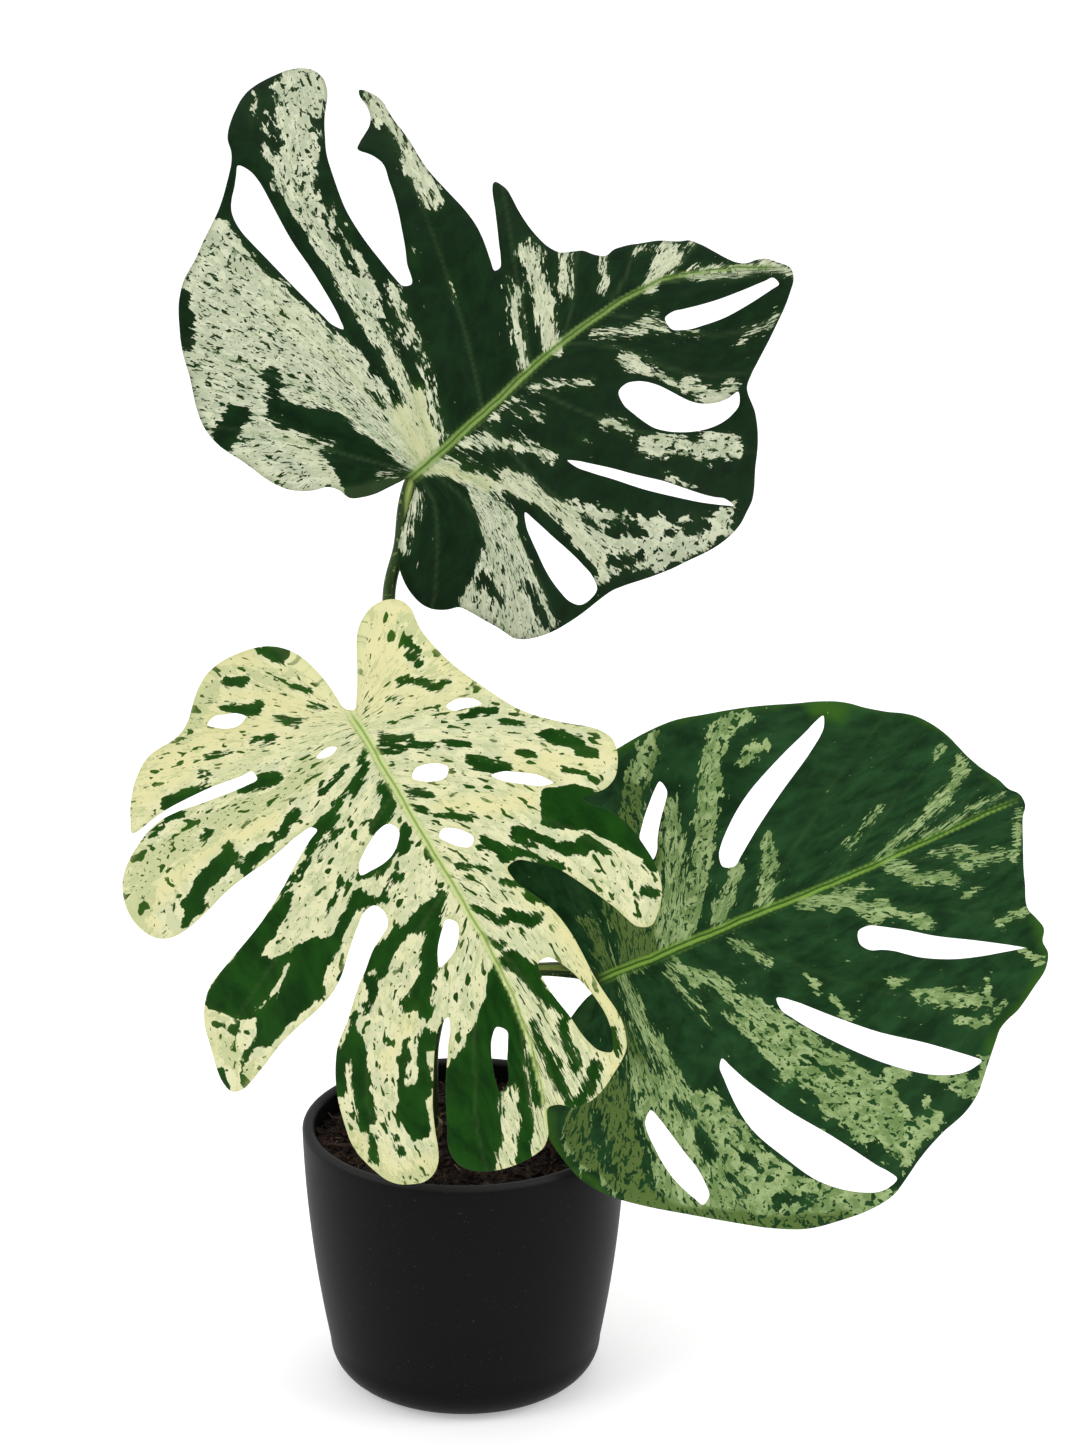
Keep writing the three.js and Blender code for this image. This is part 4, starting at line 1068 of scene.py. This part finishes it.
dark_tones = {
    "green": colour(5, 28, 7), "green_light": colour(13, 41, 15), "fresh": colour(56, 92, 22),
    "sage": colour(104, 122, 90), "sage_light": colour(146, 158, 126), "cream": colour(198, 203, 176),
    "cream_grey": colour(182, 188, 162), "cream_sage": colour(156, 166, 138), "butter": colour(184, 186, 134),
    "moss": colour(72, 94, 58), "vein": colour(120, 146, 96), "edge": colour(52, 76, 34), "rib": colour(122, 148, 76),
    "rib_dark": colour(70, 100, 40), "under": colour(92, 112, 74), "rough": 0.42, "swing": 8.0, "sage_swing": 8.0,
    "fleck_size": 1.0, "fleck_detail": 2.2, "dark_vein": 0.09,
}
cream_tones = dict(
    dark_tones, green=colour(8, 46, 4), green_light=colour(22, 66, 10), sage=colour(122, 142, 84),
    sage_light=colour(160, 176, 120), cream=colour(214, 215, 176), cream_grey=colour(190, 197, 160),
    cream_sage=colour(166, 178, 128), butter=colour(216, 210, 154), vein=colour(212, 214, 160),
    edge=colour(192, 194, 124), rib=colour(186, 200, 130), rib_dark=colour(128, 156, 76),
    swing=5.5, fleck_size=1.6, fleck_detail=1.0, dark_vein=0.03,
)
green_tones = dict(
    dark_tones, green=colour(12, 42, 16), green_light=colour(30, 66, 32), fresh=colour(50, 90, 20),
    sage=colour(104, 130, 76), sage_light=colour(150, 170, 116), moss=colour(84, 106, 52), cream=colour(196, 206, 166),
    vein=colour(88, 122, 62), edge=colour(104, 138, 54), rib=colour(120, 154, 62),
    rib_dark=colour(50, 88, 26), swing=5.0, sage_swing=11.0, fleck_size=0.95, fleck_detail=1.8,
)
make_blade(upper, leaf_material("leaf_dark_green", dark_tones, 3.0))
make_blade(front, leaf_material("leaf_cream", cream_tones, 61.0))
make_blade(right, leaf_material("leaf_sage_green", green_tones, 117.0))

# %% [markdown]
# ## The petioles
# A petiole is a smooth stalk as thick as a pencil at its foot. Its foot wraps the stem as a sheath, which
# leaves a shallow groove up the lower half, and just under the blade it swells into a short elbow, the
# geniculum, that turns the leaf to the light. Each is swept along the frame's own route, with the groove
# and the swelling worked into the section, and runs on into the midrib.

# %% Petiole routes
stem_centre = Vector(((stem_low.x + stem_high.x) / 2, (stem_low.y + stem_high.y) / 2, 0)) / MM
stem_top = stem_high.z / MM
FOOT_CIRCLE = 6.7
routes = {
    "petiole_upper": (upper, 81, [(0, 0.5, 29), (0.4, 1.5, 82), (-0.3, 2.5, 113)],
                      [(-2.8, -10, -177.4), (-6.9, -9, -147.9), (-10, -7, -111.4), (-13, -4, -61.4),
                       (-7.4, -2.5, -33.9)]),
    "petiole_front": (front, 212, [(2.3, -0.9, 34), (4.8, -0.4, 87)],
                      [(27.9, 38, -97.4), (25.9, 35, -65.9), (18.7, 30, -34.7), (8.9, 18, -15.4)]),
    "petiole_right": (right, -32, [(0.4, -0.4, 25.7), (1.6, -2.4, 45.3), (6.7, -5.4, 65)],
                      [(-68.3, 30, -16.6), (-51.2, 24, -8.6), (-31.3, 16, -3.1), (-14.9, 8, -0.6)]),
}


def petiole_line(leaf, angle, from_foot, from_joint):
    angle = math.radians(angle)
    foot = stem_centre + FOOT_CIRCLE * Vector((math.cos(angle), math.sin(angle), 0))
    foot.z = stem_top
    joint = leaf["matrix"].translation
    line = [foot - Vector((0, 0, 6))]
    line += [foot + Vector(p) for p in from_foot] + [joint + Vector(p) for p in from_joint]
    line += [leaf["matrix"] @ Vector(p) for p in ((0, -1, -4.4), (0, 16, -3.7))]
    return [tuple(p) for p in line]


petiole_material, tree, shader = new_material("petiole_green")
place = add_node(tree, "ShaderNodeUVMap", {"uv_map": "stalk"}).outputs[0]
lines = stretched_noise(tree, place, 3.0, 0.35, 5.0, detail=4.0)
tone = mix_colour(tree, step_up(tree, lines, 0.38, 0.62), colour(20, 42, 14), colour(50, 78, 26))
pale_line = stretched_noise(tree, place, 1.1, 0.10, 31.0, detail=2.0)
tone = mix_colour(tree, step_up(tree, pale_line, 0.57, 0.62), tone, colour(150, 166, 88))
object_place = add_node(tree, "ShaderNodeTexCoord").outputs["Object"]
height = add_node(tree, "ShaderNodeSeparateXYZ", Vector=object_place).outputs["Z"]
by_foot = step_up(tree, height, soil_top + 0.05, soil_top)
tone = mix_colour(tree, by_foot, tone, colour(52, 48, 26))
by_blade = add_node(tree, "ShaderNodeAttribute", {"attribute_name": "by_blade"}).outputs["Fac"]
tone = mix_colour(tree, by_blade, tone, colour(128, 152, 78))
speck = add_node(tree, "ShaderNodeTexNoise", Vector=object_place, Scale=420.0, Detail=2.0).outputs[0]
tone = mix_colour(tree, step_up(tree, speck, 0.62, 0.66), tone, colour(104, 122, 62))
tree.links.new(tone, shader.inputs["Base Color"])
shader.inputs["Roughness"].default_value = 0.42
shader.inputs["Specular IOR Level"].default_value = 0.2
bump = add_node(tree, "ShaderNodeBump", Strength=0.4, Distance=0.0004, Height=lines)
tree.links.new(bump.outputs[0], shader.inputs["Normal"])


# %% Sweep a petiole
SIDES = 24


def swept_frames(line):
    """Directions across a line that turn with it and don't twist."""
    ahead = np.gradient(line, axis=0)
    ahead /= np.linalg.norm(ahead, axis=1)[:, None]
    side = np.array([1.0, 0.0, 0.0])
    sides = []
    for direction in ahead:
        side = side - direction * (side @ direction)
        side /= np.linalg.norm(side)
        sides.append(side.copy())
    sides = np.array(sides)
    return sides, np.cross(ahead, sides)


def make_petiole(name, route):
    line = even_points(petiole_line(*route), 220)
    side, up = swept_frames(line)
    run = np.concatenate([[0], np.cumsum(np.linalg.norm(np.diff(line, axis=0), axis=1))])
    length = run[-1]
    radius = np.interp(run, [0, 20, length - 24, length - 10, length], [4.6, 4.3, 2.9, 2.7, 1.3])
    swelling = 0.7 * np.exp(-((run - (length - 34)) / 12) ** 2)
    groove = 0.26 * np.clip(1.4 - run / (0.55 * length), 0, 1)
    angles = np.arange(SIDES) * 2 * np.pi / SIDES
    toward = np.arctan2(np.sin(angles + np.pi / 2), np.cos(angles + np.pi / 2))
    shape = 1 - groove[:, None] * np.exp(-(toward / 0.42) ** 2)[None, :]
    shape = shape + 0.10 * groove[:, None] / 0.26 * np.exp(-((np.abs(toward) - 0.75) / 0.25) ** 2)[None, :]
    knots = 1 + 0.02 * np.sin(run / 9.0)[:, None] * np.cos(3 * angles)[None, :]
    reach = (radius + swelling)[:, None] * shape * knots
    rings = (line[:, None, :] + reach[:, :, None] * (
        np.cos(angles)[None, :, None] * side[:, None, :] + np.sin(angles)[None, :, None] * up[:, None, :]))
    points = np.vstack([rings.reshape(-1, 3), line[:1], line[-1:]]) * MM
    faces, rows = [], len(line)
    for r in range(rows - 1):
        for s in range(SIDES):
            n = (s + 1) % SIDES
            faces.append((r * SIDES + s, r * SIDES + n, (r + 1) * SIDES + n, (r + 1) * SIDES + s))
    low, high = rows * SIDES, rows * SIDES + 1
    for s in range(SIDES):
        n = (s + 1) % SIDES
        faces.append((n, s, low))
        faces.append(((rows - 1) * SIDES + s, (rows - 1) * SIDES + n, high))
    piece = add_piece(name.replace("petiole", "stalk"), points, faces, petiole_material, [name])
    by_blade = 0.85 * np.exp(-((length - run) / 16) ** 2)
    near = piece.data.attributes.new("by_blade", "FLOAT", "POINT")
    near.data.foreach_set("value", np.append(np.repeat(by_blade, SIDES), (0, 0.85)).astype(np.float32))
    layer = piece.data.uv_layers.new(name="stalk")
    for polygon in piece.data.polygons:
        turns = [piece.data.loops[k].vertex_index % SIDES for k in polygon.loop_indices]
        last = max(turns) == SIDES - 1 and min(turns) == 0
        for k, turn in zip(polygon.loop_indices, turns):
            index = min(piece.data.loops[k].vertex_index // SIDES, rows - 1)
            turn = SIDES if last and turn == 0 else turn
            layer.data[k].uv = (turn / SIDES * 2.4, run[index] * 0.1)
    print(name, "length", round(float(length)), "mm")
    return piece


for name, route in routes.items():
    make_petiole(name, route)

# %% [markdown]
# ## The pot
# The planter is a moulded bucket with a satin black skin: a wall that swells a little, a rounded foot and a
# thick rounded lip. It is turned from the frame's own profile, with many more facets so that its outline
# stays round, and with a fine pebbled grain that keeps its reflections soft. The top of the lip is painted
# a lighter grey as a painted highlight.

# %% Pot profile and turning
POT_HEIGHT = pot_high.z / MM
FOOT_RADIUS, FOOT_ROUND, WALL, POT_FLOOR = 67.5, 20, 6, 7
RIM_RADIUS = pot_high.x / MM
BULGE = 2.5
TURNS = 160


def pot_radius_at(z):
    rise = (z - FOOT_ROUND) / (POT_HEIGHT - FOOT_ROUND)
    return FOOT_RADIUS + (80 - FOOT_RADIUS) * rise + BULGE * 4 * rise * (1 - rise)


def pot_side(wall, floor, top, round_steps, wall_steps):
    side = []
    for k in range(round_steps + 1):
        angle = k / round_steps * math.pi / 2
        side.append((FOOT_RADIUS - FOOT_ROUND + (FOOT_ROUND - wall) * math.sin(angle),
                     max(floor, FOOT_ROUND - (FOOT_ROUND - wall) * math.cos(angle))))
    for k in range(1, wall_steps + 1):
        z = FOOT_ROUND + (top - FOOT_ROUND) * k / wall_steps
        side.append((pot_radius_at(z) - wall, z))
    return side


def turned(profile, turns, centre=(0, 0)):
    """A closed skin turned about an upright axis. The profile starts and ends on the axis."""
    ring = [(math.cos(2 * math.pi * k / turns), math.sin(2 * math.pi * k / turns)) for k in range(turns)]
    points = [(centre[0], centre[1], profile[0][1])]
    for radius, z in profile[1:-1]:
        points += [(centre[0] + radius * c, centre[1] + radius * s, z) for c, s in ring]
    points.append((centre[0], centre[1], profile[-1][1]))
    last = len(points) - 1
    faces = []
    for k in range(turns):
        n = (k + 1) % turns
        faces.append((0, 1 + n, 1 + k))
        for row in range(len(profile) - 3):
            a, b = 1 + row * turns, 1 + (row + 1) * turns
            faces.append((a + k, a + n, b + n, b + k))
        a = 1 + (len(profile) - 3) * turns
        faces.append((a + k, a + n, last))
    return np.array(points), faces


lip = WALL / 2
rim_middle = pot_radius_at(POT_HEIGHT - lip) - lip
rim = [(rim_middle + lip * math.cos(k / 12 * math.pi), POT_HEIGHT - lip + lip * math.sin(k / 12 * math.pi))
       for k in range(1, 12)]
outside = pot_side(0, 0, POT_HEIGHT - lip, 12, 26)
inside = pot_side(WALL, POT_FLOOR, POT_HEIGHT - lip, 8, 12)
pot_profile = [(0, 0), (20, 0), *outside, *rim, *reversed(inside), (20, POT_FLOOR), (0, POT_FLOOR)]

pot_material, tree, shader = new_material("pot_satin_black")
object_place = add_node(tree, "ShaderNodeTexCoord").outputs["Object"]
patches = add_node(tree, "ShaderNodeTexNoise", Vector=object_place, Scale=22.0, Detail=3.0).outputs[0]
tone = mix_colour(tree, patches, colour(12, 12, 12), colour(17, 17, 17))
dust = add_node(tree, "ShaderNodeTexNoise", Vector=object_place, Scale=900.0, Detail=2.0).outputs[0]
tone = mix_colour(tree, step_up(tree, dust, 0.70, 0.78), tone, colour(60, 58, 56))
height = add_node(tree, "ShaderNodeSeparateXYZ", Vector=object_place).outputs["Z"]
# Painted highlight: the top few millimetres of the lip turn a lighter grey.
painted_lip_highlight = step_up(tree, height, pot_high.z - 0.0026, pot_high.z - 0.0008)
tone = mix_colour(tree, painted_lip_highlight, tone, colour(46, 46, 46))
tree.links.new(tone, shader.inputs["Base Color"])
rough = math_node(tree, "ADD", math_node(tree, "MULTIPLY", patches, 0.12), 0.40)
tree.links.new(rough, shader.inputs["Roughness"])
shader.inputs["Specular IOR Level"].default_value = 0.06
pebbles = add_node(tree, "ShaderNodeTexNoise", Vector=object_place, Scale=1400.0, Detail=1.0).outputs[0]
bump = add_node(tree, "ShaderNodeBump", Strength=0.25, Distance=0.0002, Height=pebbles)
tree.links.new(bump.outputs[0], shader.inputs["Normal"])

pot_points, pot_faces = turned(pot_profile, TURNS)
planter = add_piece("planter", pot_points * MM, pot_faces, pot_material, ["pot"])

# %% [markdown]
# ## The stem
# The stem is short and woody, with a ring scar for each leaf that it has shed. At its top the three petioles
# wrap one another as sheaths. It is turned round its own axis and then pushed in and out by a few given waves,
# so that no two sides are alike.

# %% Stem
STEM_RADIUS = (stem_high.x - stem_low.x) / 2 / MM
stem_bottom = stem_low.z / MM
stem_profile = [(0, stem_bottom), (7, stem_bottom), (10.5, stem_bottom + 1.5)]
stem_profile += [(STEM_RADIUS, stem_bottom + 3 + k * (stem_top - stem_bottom - 5) / 40) for k in range(41)]
stem_profile += [(11.2, stem_top - 1.0), (9.6, stem_top - 0.2), (6, stem_top + 0.4), (3, stem_top + 0.6),
                 (0, stem_top + 0.6)]
points, faces = turned(stem_profile, 64, (stem_centre.x, stem_centre.y))
off = points[:, :2] - np.array([stem_centre.x, stem_centre.y])
angle = np.arctan2(off[:, 1], off[:, 0])
z = points[:, 2]
scar = sum(np.exp(-((z - level - 1.2 * np.sin(angle + phase)) / 0.8) ** 2)
           for level, phase in ((128, 0.4), (121, 2.2), (113, 3.9), (104, 5.3), (96, 1.1)))
scale = 1 + 0.02 * np.sin(3 * angle + z / 5) + 0.014 * np.sin(7 * angle - z / 3) - 0.045 * scar - 0.01
points[:, :2] = np.array([stem_centre.x, stem_centre.y]) + off * scale[:, None]

stem_material, tree, shader = new_material("stem_bark_green")
object_place = add_node(tree, "ShaderNodeTexCoord").outputs["Object"]
mapping = add_node(tree, "ShaderNodeMapping", Vector=object_place, Scale=(1, 1, 0.35))
fibres = add_node(tree, "ShaderNodeTexNoise", Vector=mapping.outputs[0], Scale=260.0, Detail=5.0).outputs[0]
tone = mix_colour(tree, step_up(tree, fibres, 0.4, 0.6), colour(62, 60, 34), colour(104, 96, 58))
cork = add_node(tree, "ShaderNodeTexNoise", Vector=object_place, Scale=90.0, Detail=4.0).outputs[0]
tone = mix_colour(tree, step_up(tree, cork, 0.52, 0.62), tone, colour(128, 106, 72))
tree.links.new(tone, shader.inputs["Base Color"])
shader.inputs["Roughness"].default_value = 0.7
bump = add_node(tree, "ShaderNodeBump", Strength=0.6, Distance=0.0008, Height=fibres)
tree.links.new(bump.outputs[0], shader.inputs["Normal"])
add_piece("short_stem", points * MM, faces, stem_material, ["stem"])

# %% [markdown]
# ## The soil
# Potting mix is dark and crumbly: fine peat with bits of bark and pale fibres. The body of the soil is one
# skin laid out in rays from the stem to the wall, so its socket, top, side and bottom close into each other.
# Its top is pushed up and down in soft mounds, and the crumbs are scattered over it afterwards.

# %% Soil body
SOIL_GAP = 0.3
SOIL_TURNS = 180
soil_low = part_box("soil")[0].z / MM
soil_level = soil_top / MM
socket_radius = STEM_RADIUS + SOIL_GAP
socket_bottom = stem_bottom - SOIL_GAP


def soil_radius_at(z):
    inner_floor = POT_FLOOR + SOIL_GAP
    if z < FOOT_ROUND:
        reach = FOOT_ROUND - WALL - SOIL_GAP
        return FOOT_RADIUS - FOOT_ROUND + math.sqrt(max(reach**2 - (FOOT_ROUND - max(z, inner_floor)) ** 2, 0))
    return pot_radius_at(z) - WALL - SOIL_GAP


def ray_to_wall(angle, radius):
    """How far a ray from the stem's centre runs before it meets a circle round the pot's axis."""
    dx, dy = math.cos(angle), math.sin(angle)
    along = stem_centre.x * dx + stem_centre.y * dy
    return -along + math.sqrt(along**2 + radius**2 - stem_centre.x**2 - stem_centre.y**2)


def crumble(x, y):
    """Height of the soil's top, from a few waves that cross each other."""
    return (0.9 * math.sin(x / 9 + 1.3) * math.cos(y / 11 - 0.4) + 0.6 * math.sin(x / 4.3 - y / 6.1)
            + 0.35 * math.sin(y / 2.7 + x / 3.9 + 2.0) + 0.2 * math.sin(x / 1.9) * math.sin(y / 1.7))


rings = []
for level in (socket_bottom, (socket_bottom + soil_level) / 2):
    rings.append([(socket_radius, level)] * SOIL_TURNS)
TOP_STEPS = 46
for k in range(TOP_STEPS + 1):
    ring = []
    for turn in range(SOIL_TURNS):
        angle = 2 * math.pi * turn / SOIL_TURNS
        reach = ray_to_wall(angle, soil_radius_at(soil_level))
        radius = socket_radius + (reach - socket_radius) * k / TOP_STEPS
        x = stem_centre.x + radius * math.cos(angle)
        y = stem_centre.y + radius * math.sin(angle)
        mound = 1.6 * math.exp(-((radius - socket_radius) / 16) ** 2)
        ring.append((radius, soil_level - 0.6 + mound + crumble(x, y)))
    rings.append(ring)
for z in (100, 75, 50, 30, 20, 14, 10, soil_low):
    ring = []
    for turn in range(SOIL_TURNS):
        ring.append((ray_to_wall(2 * math.pi * turn / SOIL_TURNS, soil_radius_at(z)), z))
    rings.append(ring)
points = [(stem_centre.x, stem_centre.y, socket_bottom)]
for ring in rings:
    points += [(stem_centre.x + r * math.cos(2 * math.pi * k / SOIL_TURNS),
                stem_centre.y + r * math.sin(2 * math.pi * k / SOIL_TURNS), z) for k, (r, z) in enumerate(ring)]
points.append((stem_centre.x, stem_centre.y, soil_low))
faces = []
for k in range(SOIL_TURNS):
    n = (k + 1) % SOIL_TURNS
    faces.append((0, 1 + k, 1 + n))
    for row in range(len(rings) - 1):
        a, b = 1 + row * SOIL_TURNS, 1 + (row + 1) * SOIL_TURNS
        faces.append((a + k, b + k, b + n, a + n))
    a = 1 + (len(rings) - 1) * SOIL_TURNS
    faces.append((a + k, len(points) - 1, a + n))


def soil_finish(name, dark, light, mottle):
    material, tree, shader = new_material(name)
    object_place = add_node(tree, "ShaderNodeTexCoord").outputs["Object"]
    clumps = add_node(tree, "ShaderNodeTexNoise", Vector=object_place, Scale=mottle, Detail=6.0).outputs[0]
    tree.links.new(mix_colour(tree, step_up(tree, clumps, 0.38, 0.64), dark, light),
                   shader.inputs["Base Color"])
    shader.inputs["Roughness"].default_value = 0.92
    shader.inputs["Specular IOR Level"].default_value = 0.2
    grit = add_node(tree, "ShaderNodeTexNoise", Vector=object_place, Scale=900.0, Detail=4.0).outputs[0]
    bump = add_node(tree, "ShaderNodeBump", Strength=0.9, Distance=0.0012, Height=grit)
    tree.links.new(bump.outputs[0], shader.inputs["Normal"])
    return material


soil_material = soil_finish("soil_peat", colour(13, 9, 8), colour(36, 27, 23), 240.0)
bark_material = soil_finish("soil_bark", colour(20, 13, 11), colour(64, 47, 39), 130.0)
fibre_material = soil_finish("soil_fibre", colour(56, 43, 35), colour(138, 114, 92), 90.0)
soil = add_piece("potting_soil", np.array(points) * MM, faces, soil_material, ["soil"])

# %% [markdown]
# ## Crumbs and fibres
# Bark crumbs and fibres are the same few shapes hundreds of times over, which is work for Geometry Nodes.
# The tree scatters points over the top of the soil, puts a small block on each, turns and sizes it at
# random, and then bends every block by a noise, so that no two crumbs are alike. It ends in real meshes.

# %% Scatter tree
def build_scatter(name):
    """Inputs: the block's size, crumbs for each square metre, how much they bend, the seed and the finish."""
    group = bpy.data.node_groups.new(name, "GeometryNodeTree")
    face = group.interface
    face.new_socket("Geometry", in_out="OUTPUT", socket_type="NodeSocketGeometry")
    ids = {"Ground": face.new_socket("Ground", in_out="INPUT", socket_type="NodeSocketGeometry").identifier}
    for label, kind in (("Size", "NodeSocketVector"), ("Density", "NodeSocketFloat"),
                        ("Bend", "NodeSocketFloat"), ("Seed", "NodeSocketInt"),
                        ("Tilt", "NodeSocketFloat"), ("Finish", "NodeSocketMaterial")):
        ids[label] = face.new_socket(label, in_out="INPUT", socket_type=kind).identifier
    given = group.nodes.new("NodeGroupInput")
    result = group.nodes.new("NodeGroupOutput")
    bare = add_node(group, "GeometryNodeInputNamedAttribute", {"data_type": "FLOAT"}, Name="crumbs")
    amount = add_node(group, "ShaderNodeMath", {"operation": "MULTIPLY"})
    group.links.new(bare.outputs["Attribute"], amount.inputs[0])
    group.links.new(given.outputs["Density"], amount.inputs[1])
    spread = add_node(group, "GeometryNodeDistributePointsOnFaces", Mesh=given.outputs["Ground"],
                      Density=amount.outputs[0], Seed=given.outputs["Seed"])
    block = add_node(group, "GeometryNodeMeshCube", Size=given.outputs["Size"], Vertices_X=5, Vertices_Y=2,
                     Vertices_Z=2)
    turn = add_node(group, "FunctionNodeRandomValue", {"data_type": "FLOAT_VECTOR"}, Seed=3)
    low = add_node(group, "ShaderNodeCombineXYZ", Z=0.0)
    high = add_node(group, "ShaderNodeCombineXYZ", X=given.outputs["Tilt"], Y=given.outputs["Tilt"],
                    Z=2 * math.pi)
    group.links.new(low.outputs[0], turn.inputs[0])
    group.links.new(high.outputs[0], turn.inputs[1])
    size = add_node(group, "FunctionNodeRandomValue", {"data_type": "FLOAT_VECTOR"}, Seed=8)
    size.inputs[0].default_value = (0.4, 0.5, 0.5)
    size.inputs[1].default_value = (1.3, 1.2, 1.4)
    put = add_node(group, "GeometryNodeInstanceOnPoints", Points=spread.outputs["Points"],
                   Instance=block.outputs["Mesh"], Rotation=turn.outputs[0], Scale=size.outputs[0])
    real = add_node(group, "GeometryNodeRealizeInstances", Geometry=put.outputs["Instances"])
    where = add_node(group, "GeometryNodeInputPosition")
    noise = add_node(group, "ShaderNodeTexNoise", Vector=where.outputs[0], Scale=260.0, Detail=1.0)
    centred = add_node(group, "ShaderNodeVectorMath", {"operation": "SUBTRACT"})
    group.links.new(noise.outputs["Color"], centred.inputs[0])
    centred.inputs[1].default_value = (0.5, 0.5, 0.5)
    bent = add_node(group, "ShaderNodeVectorMath", {"operation": "SCALE"})
    group.links.new(centred.outputs[0], bent.inputs[0])
    group.links.new(given.outputs["Bend"], bent.inputs["Scale"])
    moved = add_node(group, "GeometryNodeSetPosition", Geometry=real.outputs[0], Offset=bent.outputs[0])
    finish = add_node(group, "GeometryNodeSetMaterial", Geometry=moved.outputs[0],
                      Material=given.outputs["Finish"])
    group.links.new(finish.outputs[0], result.inputs[0])
    return group, ids


crumbs = soil.data.attributes.new("crumbs", "FLOAT", "POINT")
places = np.array([v.co for v in soil.data.vertices]) / MM
from_axis = np.hypot(places[:, 0], places[:, 1])
from_stem = np.hypot(places[:, 0] - stem_centre.x, places[:, 1] - stem_centre.y)
on_top = (places[:, 2] > soil_level - 5) & (from_axis < soil_radius_at(soil_level) - 2.5)
on_top &= from_stem > socket_radius + 2.5
crumbs.data.foreach_set("value", on_top.astype(np.float32))
scatter, socket_ids = build_scatter("scatter_crumbs")


def scatter_on_soil(name, material, **values):
    carrier = bpy.data.objects.new(name + "_carrier", soil.data)
    bpy.context.scene.collection.objects.link(carrier)
    modifier = carrier.modifiers.new("scatter", "NODES")
    modifier.node_group = scatter
    modifier[socket_ids["Finish"]] = material
    for label, value in values.items():
        modifier[socket_ids[label]] = value
    evaluated = carrier.evaluated_get(bpy.context.evaluated_depsgraph_get())
    mesh = bpy.data.meshes.new_from_object(evaluated)
    mesh.name = name
    mesh.materials.clear()
    mesh.materials.append(material)
    carrier.modifiers.clear()
    bpy.data.objects.remove(carrier)
    piece = bpy.data.objects.new(name, mesh)
    bpy.context.scene.collection.objects.link(piece)
    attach(piece, "root")
    print(name, len(mesh.polygons), "faces")
    return piece


scatter_on_soil("bark_crumbs", bark_material, Size=(0.0042, 0.0024, 0.0013), Density=150000.0, Bend=0.0022,
                Seed=4, Tilt=0.7)
scatter_on_soil("bark_chips", bark_material, Size=(0.0085, 0.0042, 0.0016), Density=14000.0, Bend=0.003,
                Seed=11, Tilt=0.5)
scatter_on_soil("soil_fibres", fibre_material, Size=(0.011, 0.0003, 0.0003), Density=26000.0, Bend=0.006,
                Seed=21, Tilt=0.35)
